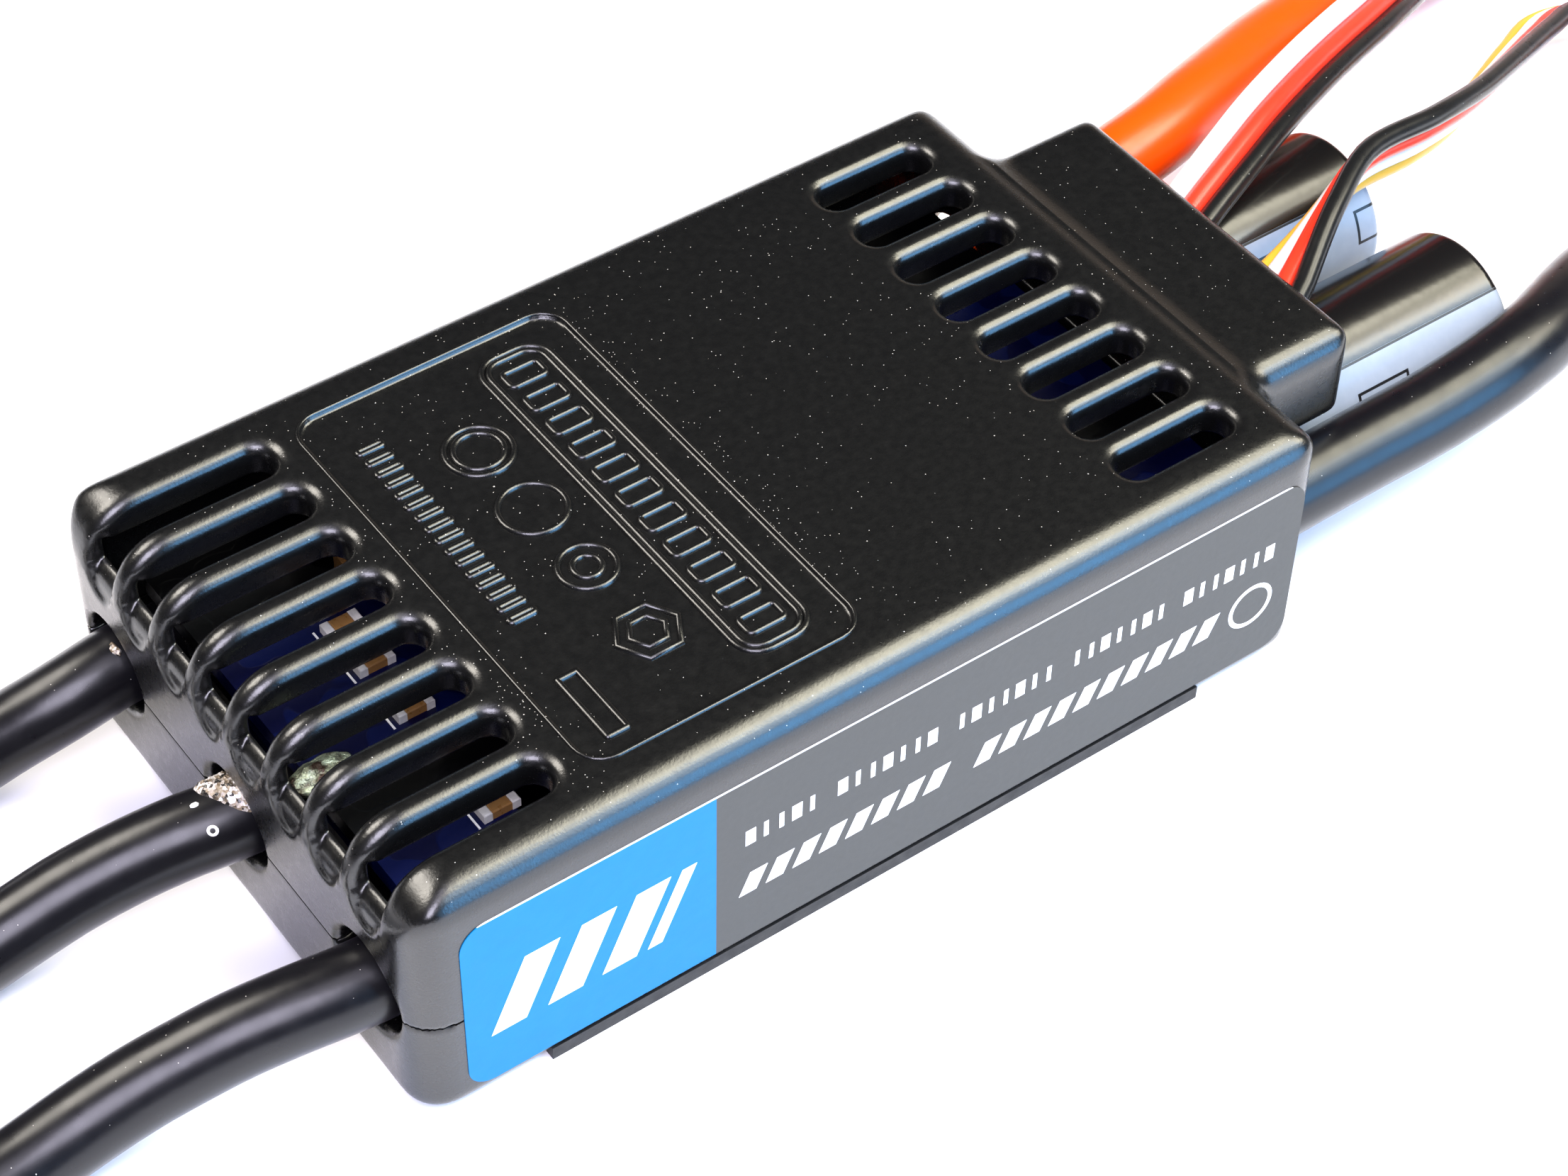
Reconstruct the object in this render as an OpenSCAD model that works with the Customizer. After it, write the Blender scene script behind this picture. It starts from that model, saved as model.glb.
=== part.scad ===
// Electronic speed controller for a brushless motor: a vented two-part case on an
// aluminium heat sink, two circuit boards, two electrolytic capacitors and its leads.
// Millimetres. +X runs towards the battery end, +Z is up, and the part rests on z = 0.
// The origin is under the middle of the rigid part, from the motor end to the capacitors.

/* [Case] */
// Length of the case without the hood
body_l = 59; // [57:0.5:62]
// Width of the case
body_w = 36; // [36:0.5:38]
// Height of the case shells
shell_h = 16.2; // [16:0.1:18]
// Height of the joint between the shells above the table
part_z = 7.2; // [7:0.1:7.5]
// Wall thickness of the shells
wall = 1.3; // [1:0.1:1.5]
// Radius of the long top edges
side_r = 1.2; // [0.8:0.1:1.6]
// Radius of the top edges at the two ends
end_r = 2.6; // [2:0.1:3]
// Radius of the upright corners
corner_r = 1.8; // [1:0.1:2.4]

/* [Vents] */
// Number of slots in each row
vent_n = 8; // [4:1:8]
// Distance between slot centres
vent_pitch = 3.86; // [3.6:0.01:3.9]
// Width of a slot
vent_w = 2.6; // [2:0.1:2.8]
// Length of the motor-end slots along the top
vent_motor_l = 11.1; // [9:0.1:12]
// Depth of the motor-end slots down the end wall
vent_motor_drop = 3.7; // [3:0.1:4.5]
// Length of the slots at the other end
vent_cap_l = 7.7; // [6:0.1:8]
// Distance from those slots to the end of the case
vent_cap_inset = 3.8; // [3.5:0.1:5]

/* [Hood] */
// Length of the hood over the capacitor leads
hood_l = 7.4; // [7:0.1:8]
// Width of the hood
hood_w = 24.2; // [23.5:0.1:25]
// Underside of the hood
hood_z0 = 9.2; // [9:0.1:9.6]
// Top of the hood
hood_z1 = 15.9; // [15.6:0.1:16.2]

/* [Heat sink] */
// Length of the heat sink
sink_l = 43.6; // [42:0.1:45]
// How far the heat sink stands below the shells
sink_drop = 0.5; // [0.4:0.1:0.6]
// Pitch of the cooling grooves
groove_pitch = 3.2; // [3:0.1:3.4]

/* [Leads] */
// Diameter of a motor lead over its insulation
motor_lead_d = 4.5; // [4:0.1:5]
// Diameter of a battery lead over its insulation
battery_lead_d = 5; // [4.5:0.1:5.2]
// Distance from the middle to the outer motor leads
motor_lead_y = 13.1; // [12.8:0.1:13.2]
// Distance from the middle to the battery leads
battery_lead_y = 13.4; // [13.4:0.1:13.5]
// Bore of the motor leads' bullet sockets
socket_bore_d = 4; // [3.5:0.1:4]

/* [Capacitors] */
// Diameter of a capacitor over its sleeve
cap_d = 10; // [9.6:0.1:10]
// Length of a capacitor
cap_l = 20; // [18:0.5:20]
// Distance from the middle to each capacitor's axis
cap_y = 5.8; // [5.7:0.1:5.8]

/* [Hidden] */
$fn = 48;

// Places along X: motor end, battery end, middle of the case, ends of hood and capacitors
cap_gap = 2.8;
total_l = body_l + cap_gap + cap_l;
x0 = -total_l / 2;
x1 = x0 + body_l;
xm = (x0 + x1) / 2;
hood_x = x1 + hood_l;
cap_x0 = x1 + cap_gap;
top_z = sink_drop + shell_h;
floor_z = sink_drop + wall;
roof_z = top_z - wall;
inner_w = body_w - 2 * wall;
lead_z = part_z - 0.1;
eps = 0.01;

// Stack of pads and boards
pedestal_z = 2.2;
pad_t = 0.5;
fet_t = 1;
power_z = pedestal_z + pad_t + fet_t;
power_t = 1.2;
power_top = power_z + power_t;
power_x0 = x0 + 4.6;
power_x1 = x1 - 3.8;
control_z = 10;
control_t = 1.2;
control_top = control_z + control_t;
control_x0 = x0 + 3;
control_x1 = x1 - 2.6;
control_w = 30;
cap_z = cap_d / 2 + 0.2;
core_r = 1.4;
boss_x = 16.6;
boss_y = 11;
wire_inside = 3.4;

// Heat sink grooves
groove_n = 8;
groove_w = 1.6;
groove_t = 1;
groove_l = 28.6;

// Signal cable: three strands of strand_d lie side by side; the hank is a long loop
strand_d = 1.3;
signal_w = 3 * strand_d;
program_w = 4 * strand_d;
hank_x0 = 92;
hank_x1 = 126;
hank_y = 17.8;
hank_r = 13.1;
hank_band = 2.7;
plug_at = [97, 17.8, 1.3];
program_end = [110, -1.3, 0.8];

// Routes of the free leads, from inside the case to the far end of the insulation
motor_route_1 = [[x0 + wire_inside, 13.1, lead_z], [-41, 13, 7.1], [-43, 13, 6.7],
    [-45, 13.3, 6], [-47.5, 14, 4.8], [-50, 14.6, 3.6], [-53, 15.2, 2.7],
    [-56, 15.6, 2.3], [-61, 15.8, 2.25], [-67, 15.7, 2.25], [-74, 15.5, 2.25],
    [-81, 15.2, 2.25], [-88, 15, 2.25], [-95, 14.8, 2.25], [-103, 14.7, 2.25]];
motor_route_2 = [[x0 + wire_inside, 0, lead_z], [-41, 0.1, 7.1], [-43.9, 0.8, 6.7],
    [-46.6, 1.5, 6], [-49.6, 2.1, 5.1], [-52, 2.4, 4.3], [-54.5, 2.6, 3.5],
    [-57.5, 2.7, 2.7], [-61, 2.7, 2.3], [-66, 2.6, 2.25], [-72, 2.4, 2.25],
    [-79, 2.2, 2.25], [-86, 2, 2.25], [-93, 1.9, 2.25], [-103, 1.8, 2.25]];
motor_route_3 = [[x0 + wire_inside, -13.1, lead_z], [-41, -13, 7.1], [-44.8, -12.2, 6.7],
    [-47.5, -11.5, 6.1], [-50, -10.9, 5.3], [-52.5, -10.4, 4.5], [-55.5, -10.1, 3.6],
    [-59, -10.1, 2.8], [-63, -10.3, 2.35], [-68, -10.6, 2.25], [-74, -10.9, 2.25],
    [-81, -11.2, 2.25], [-88, -11.4, 2.25], [-95, -11.5, 2.25], [-103, -11.6, 2.25]];
negative_route = [[x1 - wire_inside, -13.4, lead_z], [18.1, -13.4, 7.1],
    [22.2, -13.4, 7.2], [26.4, -13.5, 7.4], [30.2, -13.7, 7.7], [34, -13.75, 8.1],
    [37.1, -13.55, 8.35], [40.4, -12.95, 8.3], [44.1, -11.6, 7.7], [47.8, -10.2, 6.8],
    [52, -9.0, 5.7], [56.5, -8.2, 4.6], [61.5, -7.8, 3.5], [67, -7.8, 2.75],
    [73, -8.1, 2.5], [81, -8.5, 2.5], [90, -8.8, 2.5],
    [98, -9, 2.5], [106, -9, 2.5], [114, -9, 2.5]];
positive_route = [[x1 - wire_inside, 13.4, lead_z], [18.1, 13.4, 7.1],
    [22, 13.4, 7.3], [26, 13.5, 7.7], [30, 13.9, 8.1], [34, 14.6, 8.2],
    [37.5, 15.7, 8], [41.3, 17, 7.5], [45.8, 18.6, 6.8], [50.7, 20.1, 6],
    [55.2, 21.7, 5.1], [60, 24, 4.1], [65, 26.6, 3.2], [70, 29, 2.6],
    [76, 31.2, 2.5], [83, 33.2, 2.5], [90, 34.2, 2.5], [98, 34.4, 2.5], [107, 34.4, 2.5]];
signal_route = [[20, 2.6, 12.4], [25.8, 3.6, 12.5], [28.5, 4.6, 12.8],
    [32, 6, 13.1], [36.4, 7.9, 13.1], [42.2, 10.5, 12.2], [46.7, 12.5, 11.2],
    [51.7, 14.7, 9.9], [56.5, 17, 8.4], [61.5, 19.5, 6.5], [66.5, 21.2, 4.8],
    [71.5, 20.8, 3.3], [76.3, 17.4, 2.5], [80.5, 12.2, 2.1], [85.5, 7, 2],
    [hank_x0, hank_y - hank_r, 2]];
program_route = [[20, -5, 12.4], [23, -4.9, 12.4], [25.5, -4.5, 12.4],
    [28.2, -3.3, 12.5], [32.8, -1.2, 13], [37.6, 0.9, 13], [44, 2, 11.8],
    [49.5, 3.8, 10.2], [56, 6.8, 8.2], [62.5, 10, 6.1], [67.3, 12, 4.6],
    [72, 11.4, 3.2], [77, 7.6, 2.1], [82, 3.4, 1.3], [88, 0, 0.8],
    [95, -1.2, 0.7], [102, -1.3, 0.7], program_end];
tail_route = [[hank_x1, hank_y + hank_r - 1.45, 2], [121, 28.6, 2], [116.5, 25.6, 1.9],
    [112.5, 21.8, 1.8], [108.5, 18.8, 1.5], [104, 17.8, 1.3]];
// How far each flat cable is turned about its own length at its points, in degrees
signal_roll = [0, 0, 5, 10, 20, 25, 30, 30, 35, 50, 65, 80, 90, 90, 90, 90];
program_roll = [0, 0, -20, -40, -55, -60, -60, -55, -50, -40, -30, -20, -10, 0, 0, 0, 0, 0];
tail_roll = [90, 90, 75, 45, 15, 0];

// A flat outline with true round corners, centred on the origin
module round_rect(l, w, r) {
    square([l - 2 * r, w], center = true);
    square([l, w - 2 * r], center = true);
    for (sx = [-1, 1], sy = [-1, 1])
        translate([sx * (l / 2 - r), sy * (w / 2 - r)])
            circle(r);
}

// A profile standing on its base line, rounded by rt at the top and rb at the base
module profile(w, h, rt, rb) {
    translate([-w / 2, rb])
        square([w, h - rt - rb]);
    translate([-w / 2 + rb, 0])
        square([w - 2 * rb, h / 2]);
    translate([-w / 2 + rt, h / 2])
        square([w - 2 * rt, h / 2]);
    for (s = [-1, 1]) {
        translate([s * (w / 2 - rt), h - rt])
            circle(rt);
        translate([s * (w / 2 - rb), rb])
            circle(rb);
    }
}

// A block standing on its base whose upright, side and end edges are rounded
module soft_block(l, w, h, plan_r, side_top_r, end_top_r, base_r) {
    intersection() {
        linear_extrude(h)
            round_rect(l, w, plan_r);
        translate([0, w, 0])
            rotate([90, 0, 0])
                linear_extrude(2 * w)
                    profile(l, h, end_top_r, base_r);
        translate([-l, 0, 0])
            rotate([90, 0, 90])
                linear_extrude(2 * l)
                    profile(w, h, side_top_r, base_r);
    }
}

module case_block() {
    translate([xm, 0, sink_drop])
        soft_block(body_l, body_w, shell_h, corner_r, side_r, end_r, 0.5);
}

// Places of the things that come in rows
function vent_y(i) = (i - (vent_n - 1) / 2) * vent_pitch;
motor_ys = [motor_lead_y, 0, -motor_lead_y];
battery_ys = [battery_lead_y, -battery_lead_y];
cap_ys = [cap_y, -cap_y];

module along_x(x, y, z, r, l) {
    translate([x, y, z])
        rotate([0, 90, 0])
            cylinder(h = l, r = r);
}

// Holes that the leads leave by, half in each shell
module lead_holes() {
    for (y = motor_ys)
        along_x(x0 - 1, y, part_z, 2.95, wall + 1.5);
    for (y = battery_ys)
        along_x(x1 - wall - 0.5, y, part_z, 2.9, wall + 1);
}

// One slot outline, r at each end, from 0 to l along X
module slot_outline(l, w) {
    translate([w / 2, -w / 2])
        square([l - w, w]);
    for (x = [w / 2, l - w / 2])
        translate([x, 0])
            circle(w / 2);
}

module motor_vent() {
    translate([x0 - 2, 0, top_z - vent_motor_drop + vent_w / 2])
        linear_extrude(vent_motor_drop)
            slot_outline(vent_motor_l + 2, vent_w);
    translate([x0 - 1, 0, top_z - vent_motor_drop])
        rotate([90, 0, 90])
            linear_extrude(end_r + 0.2)
                rotate(90)
                    slot_outline(vent_motor_drop + 2, vent_w);
}

module cap_vent() {
    translate([x1 - vent_cap_inset - vent_cap_l, 0, roof_z - 1])
        linear_extrude(wall + 2)
            slot_outline(vent_cap_l, vent_w);
}

// Shallow panel on the roof with plain raised bars in place of any marking
panel_x = x0 + 12.8;
panel_l = 16.8;
panel_w = 29.4;
panel_t = 0.2;

module roof_panel() {
    translate([panel_x + panel_l / 2, 0, top_z - panel_t])
        linear_extrude(1)
            round_rect(panel_l, panel_w, 1.6);
}

module panel_marks() {
    translate([panel_x + panel_l / 2, 0, top_z - panel_t - eps]) {
        translate([4.9, 0, 0])
            linear_extrude(panel_t)
                difference() {
                    round_rect(4, 25, 1.6);
                    round_rect(3.2, 24.2, 1.2);
                }
        translate([-6.4, -11, 0])
            linear_extrude(panel_t)
                difference() {
                    square([1.4, 4.8], center = true);
                    square([0.9, 4.3], center = true);
                }
    }
}

module bosses(r) {
    for (sx = [-1, 1], sy = [-1, 1])
        translate([xm + sx * boss_x, sy * boss_y, 0])
            cylinder(h = top_z, r = r);
}

module upper_shell() {
    color("#1b1b1d")
        difference() {
            union() {
                intersection() {
                    difference() {
                        case_block();
                        translate([xm, 0, -eps])
                            linear_extrude(roof_z + eps)
                                round_rect(body_l - 2 * wall, inner_w, 1);
                    }
                    translate([x0 - 1, -body_w, part_z])
                        cube([body_l + 2, 2 * body_w, top_z]);
                }
                hood();
                intersection() {
                    bosses(2);
                    translate([x0, -body_w, pedestal_z + 0.1])
                        cube([body_l, 2 * body_w, roof_z - pedestal_z]);
                }
                panel_marks();
            }
            lead_holes();
            bosses_bores();
            for (i = [0:vent_n - 1])
                translate([0, vent_y(i), 0]) {
                    motor_vent();
                    cap_vent();
                }
            difference() {
                roof_panel();
                panel_marks();
            }
            translate([x1 - wall - 1, -8.6, hood_z0 + 1])
                cube([wall + 2, 17.2, 4.2]);
            label_block(1);
        }
}

// Blind pilot holes for the case screws
module bosses_bores() {
    for (sx = [-1, 1], sy = [-1, 1])
        translate([xm + sx * boss_x, sy * boss_y, 0])
            cylinder(h = pedestal_z + 5, r = 0.85);
}

// The hood is open underneath, with a slot for the cables in its end wall
module hood() {
    hood_in = 3;
    difference() {
        intersection() {
            translate([x1 + hood_l - (hood_l + hood_in) / 2, 0, hood_z0])
                soft_block(hood_l + hood_in, hood_w, hood_z1 - hood_z0, 1.5, 1.1, 1.1, 0.6);
            translate([x1 - wall, -body_w, 0])
                cube([hood_l + 2 * wall, 2 * body_w, top_z]);
        }
        translate([x1 - wall - 1, -hood_w / 2 + wall, 0])
            cube([hood_l + 1, hood_w - 2 * wall, hood_z1 - wall]);
        for (y = cap_ys)
            along_x(x1 - 1, y, cap_z, cap_d / 2 + 0.3, hood_l + 2);
        translate([x1, -10, 11.1])
            cube([hood_l + 1, 17.4, 3]);
    }
}

module lower_shell() {
    color("#1b1b1d")
        difference() {
            intersection() {
                case_block();
                translate([x0 - 1, -body_w, 0])
                    cube([body_l + 2, 2 * body_w, part_z]);
            }
            translate([xm, 0, floor_z])
                linear_extrude(shell_h)
                    round_rect(body_l - 2 * wall, inner_w, 1);
            translate([xm, 0, -1])
                linear_extrude(1 + 0.9 + 0.02)
                    square([sink_l + 0.1, body_w + 2], center = true);
            translate([xm, 0, 0])
                linear_extrude(shell_h)
                    round_rect(sink_l - 2.9, 28.1, 1);
            lead_holes();
            label_block(1);
            for (y = cap_ys)
                translate([x1 - wall - 1, y - 3.5, power_top - 0.2])
                    cube([wall + 2, 7, shell_h]);
        }
}

module heat_sink() {
    color("#2a2b2e")
        difference() {
            union() {
                translate([xm, 0, 0])
                    linear_extrude(0.9)
                        square([sink_l, body_w], center = true);
                translate([xm, 0, 0])
                    linear_extrude(pedestal_z)
                        round_rect(sink_l - 3, 28, 1);
            }
            for (i = [0:groove_n - 1])
                translate([xm, (i - (groove_n - 1) / 2) * groove_pitch, 0])
                    cube([groove_l, groove_w, 2 * groove_t], center = true);
            for (sx = [-1, 1], sy = [-1, 1])
                translate([xm + sx * boss_x, sy * boss_y, 0]) {
                    translate([0, 0, -1])
                        cylinder(h = 4, r = 1.1);
                    translate([0, 0, -eps])
                        cylinder(h = 1.1, r1 = 1.9, r2 = 0.91);
                }
        }
}

module thermal_pad() {
    color("#8f9aa8")
        translate([xm, 0, pedestal_z])
            linear_extrude(pad_t)
                square([28.6, 25], center = true);
}

module case_screws() {
    color("#3a3b3f")
        for (sx = [-1, 1], sy = [-1, 1])
            translate([xm + sx * boss_x, sy * boss_y, 0.1])
                difference() {
                    union() {
                        cylinder(h = 1, r1 = 1.8, r2 = 0.9);
                        cylinder(h = 6, r = 0.85);
                    }
                    translate([0, 0, -eps])
                        cylinder(h = 0.7, r = 0.6, $fn = 6);
                }
}

module board(xa, xb, w, z, t, hole_r) {
    difference() {
        translate([(xa + xb) / 2, 0, z])
            linear_extrude(t)
                round_rect(xb - xa, w, 0.8);
        bosses(hole_r);
    }
}

module power_board() {
    color("#16266b")
        board(power_x0, power_x1, 31.6, power_z, power_t, 2.3);
}

// Columns and rows of parts under the power board, clear of the screw bosses
module mosfets() {
    color("#232326")
        for (ix = [0:4], iy = [0:3])
            translate([xm + (ix - 2) * 5.9, (iy - 1.5) * 6.2, pedestal_z + pad_t])
                translate([-2.4, -2.8, 0])
                    cube([4.8, 5.6, fet_t]);
}

module ceramic_capacitors() {
    color("#b08a5a")
        for (ix = [0:6], sy = [-1, 1])
            translate([xm - 13.5 + ix * 4.5, sy * 13.6, power_top])
                translate([-1.6, -0.8, 0])
                    cube([3.2, 1.6, 1.4]);
}

module bus_bars() {
    color("#c98a55")
        for (sy = [-1, 1])
            translate([xm - 12, sy * 7 - 1.5, power_top])
                cube([29, 3, 0.8]);
}

module control_board() {
    color("#16266b")
        board(control_x0, control_x1, control_w, control_z, control_t, 2.3);
}

module chip(x, y, l, w, h) {
    translate([x - l / 2, y - w / 2, control_top])
        cube([l, w, h]);
}

module controller_chip() {
    color("#202124")
        chip(xm - 4, 3, 7, 7, 1);
}

module driver_chips() {
    color("#202124")
        for (y = [-9, 0, 9])
            chip(x0 + 17, y, 4, 3.4, 0.9);
}

module regulator_coil() {
    color("#3c3c40")
        chip(xm + 10, -6, 7, 7, 3);
}

module regulator_chip() {
    color("#202124")
        chip(xm + 10, 4, 4.9, 3.9, 1.5);
}

// Two ranks of small parts on the control board
module smd_resistors() {
    color("#e4e0d6")
        for (y = [-10.2, -2, 1.9, 4.8])
            chip(x0 + 9.8, y, 2.2, 1.25, 0.6);
}

module smd_capacitors() {
    color("#b9966a")
        for (i = [0:5])
            chip(xm + 2 + 2.4 * (i % 3), i < 3 ? -12 : 12, 1.6, 0.8, 0.8);
}

module board_pins() {
    color("#d8b25a")
        for (sy = [-1, 1], i = [0:5])
            translate([xm - 6 + i * 2, sy * 11, power_top])
                translate([-0.3, -0.3, 0])
                    cube([0.6, 0.6, control_z - power_top]);
}

module motor_wire_cores() {
    color("#c9c9c6")
        for (y = motor_ys)
            along_x(x0 + wire_inside, y, lead_z, core_r, 5);
}

module battery_wire_cores() {
    color("#c9c9c6")
        for (y = battery_ys)
            along_x(x1 - wire_inside - 5, y, lead_z, core_r, 5);
}

// Solder between each stripped wire and its pad
module solder_joints() {
    color("#b9bcc0") {
        for (y = motor_ys)
            solder_bed(x0 + 4.8, y);
        for (y = battery_ys)
            solder_bed(x1 - 8.2, y);
    }
}

module solder_bed(x, y) {
    difference() {
        translate([x, y - 1.9, power_top])
            cube([3.4, 3.8, lead_z - power_top - 0.3]);
        along_x(x - 1, y, lead_z, core_r, 6);
    }
}

// A capacitor lies along X with its leads towards the case
module can(y) {
    color("#c4c7cb")
        along_x(cap_x0 + 1.2, y, cap_z, cap_d / 2 - 0.25, cap_l - 1.4);
}

module sleeve(y) {
    r = cap_d / 2;
    rim = 0.6;
    color("#151517")
        translate([cap_x0, y, cap_z])
            rotate([0, 90, 0])
                rotate_extrude()
                    difference() {
                        union() {
                            square([r, cap_l - rim]);
                            square([r - rim, cap_l]);
                            translate([r - rim, cap_l - rim])
                                circle(rim);
                        }
                        translate([-1, 1.2])
                            square([r + 0.75, cap_l - 1.4]);
                        translate([-1, -1])
                            square([r, 3]);
                        translate([-1, cap_l - 1])
                            square([r - 1, 3]);
                        translate([-30, -5])
                            square([30, cap_l + 10]);
                    }
}

module capacitor_can_1() {
    can(cap_ys[0]);
}

module capacitor_can_2() {
    can(cap_ys[1]);
}

module capacitor_sleeve_1() {
    sleeve(cap_ys[0]);
}

module capacitor_sleeve_2() {
    sleeve(cap_ys[1]);
}

module capacitor_bungs() {
    color("#2b2b2c")
        for (y = cap_ys)
            along_x(cap_x0, y, cap_z, cap_d / 2 - 1.05, 1.2);
}

module capacitor_leads() {
    lead_r = 0.35;
    color("#c9c9c6")
        for (y = cap_ys, s = [-1, 1])
            along_x(x1 - 5.5, y + 2 * s, power_top + lead_r, lead_r, cap_gap + 5.5);
}

// Thin label on the near side
label_x0 = x0 + 2.7;
label_x1 = x1 - 1.5;
label_z0 = 1.3;
label_z1 = top_z - 2.7;
label_t = 0.1;

module label_block(t) {
    translate([(label_x0 + label_x1) / 2, label_t - body_w / 2, (label_z0 + label_z1) / 2])
        rotate([90, 0, 0])
            linear_extrude(t)
                round_rect(label_x1 - label_x0, label_z1 - label_z0, 1.6);
}

module side_label() {
    color("#3b3d42")
        label_block(label_t);
}

// Beads of sealant on top of two of the motor leads where they leave the case
module exit_sealant() {
    color("#bdbab2") {
        sealant(0.9, 0, 1.9);
        sealant(motor_lead_y, 0.2, 1.1);
    }
}

module sealant(y, back, r) {
    difference() {
        translate([x0 - 0.2 + back, y, lead_z + 2])
            sphere(r);
        along_x(x0 - 5, y < 5 ? 0 : motor_lead_y, lead_z, motor_lead_d / 2, 12);
        translate([x0, y - 5, 0])
            cube([10, 10, top_z]);
    }
}

// A tube or flat bar swept along a route: ra across, rb through, turned by roll
function unit(v) = v / norm(v);
function along(p, i) = unit(p[min(i + 1, len(p) - 1)] - p[max(i - 1, 0)]);
function side_of(t) = unit(cross([0, 0, 1], t));
function ring(c, t, ra, rb, roll, n) =
    let (s = side_of(t), u = cross(t, s))
    [for (k = [0:n - 1])
        let (a = 360 * (k + 0.5) / n, w = ra * cos(a), h = rb * sin(a))
        c + s * (w * cos(roll) - h * sin(roll)) + u * (w * sin(roll) + h * cos(roll))];

module sweep(p, ra, rb, rolls, n) {
    m = len(p);
    pts = [for (i = [0:m - 1])
        each ring(p[i], along(p, i), ra, rb, rolls == 0 ? 0 : rolls[i], n)];
    sides = [for (i = [0:m - 2], k = [0:n - 1])
        let (a = i * n + k, b = i * n + (k + 1) % n)
        each [[b + n, b, a], [a + n, b + n, a]]];
    start = [for (k = [0:n - 1]) k];
    end = [for (k = [n - 1:-1:0]) (m - 1) * n + k];
    polyhedron(pts, concat(sides, [start, end]));
}

// Every second point of a route, with both ends kept
function thinned(p) = [for (i = [0:len(p) - 1])
    if (i % 2 == 0 || i == len(p) - 1 || i == 1) p[i]];

module lead(route, d) {
    sweep(thinned(route), d / 2, d / 2, 0, 10);
}

module motor_lead_1() {
    color("#19191b")
        lead(motor_route_1, motor_lead_d);
}

module motor_lead_2() {
    color("#19191b")
        lead(motor_route_2, motor_lead_d);
}

module motor_lead_3() {
    color("#19191b")
        lead(motor_route_3, motor_lead_d);
}

function last(p) = p[len(p) - 1];
motor_ends = [last(motor_route_1), last(motor_route_2), last(motor_route_3)];
socket_l = 13;
sleeve_l = 17;
sleeve_lap = 4;

// A bullet socket: a cup for the wire, then the bore that a 4 mm plug slides into
module bullet_socket(i) {
    color("#d8b25a")
        translate(motor_ends[i])
            rotate([0, -90, 0])
                difference() {
                    cylinder(h = socket_l, r = 2.6);
                    translate([0, 0, socket_l - 10])
                        cylinder(h = 11, r = socket_bore_d / 2);
                }
}

module lead_sleeve(i) {
    color("#222224")
        translate(motor_ends[i])
            rotate([0, -90, 0])
                translate([0, 0, -sleeve_lap])
                    difference() {
                        cylinder(h = sleeve_l, r = 3);
                        translate([0, 0, -1])
                            cylinder(h = sleeve_l + 2, r = 2.62);
                    }
}

module bullet_socket_1() {
    bullet_socket(0);
}

module bullet_socket_2() {
    bullet_socket(1);
}

module bullet_socket_3() {
    bullet_socket(2);
}

module lead_sleeve_1() {
    lead_sleeve(0);
}

module lead_sleeve_2() {
    lead_sleeve(1);
}

module lead_sleeve_3() {
    lead_sleeve(2);
}

module battery_lead_positive() {
    color("#e8471c")
        lead(positive_route, battery_lead_d);
}

module battery_lead_negative() {
    color("#19191b")
        lead(negative_route, battery_lead_d);
}

// Bare tinned end of a battery lead
module lead_tip(route) {
    color("#c9c9c6")
        translate(last(route))
            rotate([0, 90, 0])
                cylinder(h = 7, r = 1.6);
}

module positive_lead_tip() {
    lead_tip(positive_route);
}

module negative_lead_tip() {
    lead_tip(negative_route);
}

module signal_cable() {
    color("#b8332a")
        sweep(signal_route, signal_w / 2, strand_d / 2, signal_roll, 8);
}

module loop_outline(r) {
    for (x = [hank_x0, hank_x1])
        translate([x, hank_y])
            circle(r);
    translate([hank_x0, hank_y - r])
        square([hank_x1 - hank_x0, 2 * r]);
}

module signal_cable_hank() {
    color("#b8332a")
        difference() {
            linear_extrude(signal_w)
                difference() {
                    loop_outline(hank_r + 0.65);
                    loop_outline(hank_r + 0.65 - hank_band);
                }
            translate([hank_x0 - 1, hank_y - hank_r - 0.8, -1])
                cube([1, 1.55, signal_w + 2]);
        }
}

module signal_cable_tail() {
    color("#b8332a")
        sweep(tail_route, signal_w / 2, strand_d / 2, tail_roll, 8);
}

// A three-way plug lying flat, with its contacts inside
module signal_plug() {
    color("#1d1d1f")
        translate(plug_at)
            difference() {
                translate([-7, -3.8, -1.25])
                    cube([14, 7.6, 2.5]);
                for (i = [-1:1])
                    translate([-7.1, i * 2.54 - 0.6, -0.6])
                        cube([9, 1.2, 1.2]);
            }
}

module signal_contacts() {
    color("#d8b25a")
        translate(plug_at)
            for (i = [-1:1])
                translate([-5, i * 2.54 - 0.4, -0.6])
                    cube([6.9, 0.8, 0.3]);
}

// Two ties round the sides of the hank
module cable_ties() {
    x = (hank_x0 + hank_x1) / 2;
    color("#2a2a2c")
        for (s = [-1, 1])
            translate([x, hank_y + s * (hank_r + 0.65 - hank_band / 2), signal_w / 2])
                difference() {
                    translate([0, 0, 0.15])
                        cube([2.4, hank_band + 1.6, signal_w + 0.9], center = true);
                    cube([3, hank_band + 0.04, signal_w + 0.04], center = true);
                    translate([0, 0, -signal_w / 2 - 1])
                        cube([3, 10, 2], center = true);
                }
}

module program_cable() {
    color("#1d1d1f")
        sweep(program_route, program_w / 2, strand_d / 2, program_roll, 8);
}

// A four-way plug at the end of the program cable
module program_plug() {
    color("#e9e6dc")
        translate(program_end)
            difference() {
                translate([0, -4, -0.8])
                    cube([7.5, 8, 3.2]);
                for (i = [0:3])
                    translate([1.5, (i - 1.5) * 1.5 - 0.5, 0.3])
                        cube([7, 1, 1]);
            }
}

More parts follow.
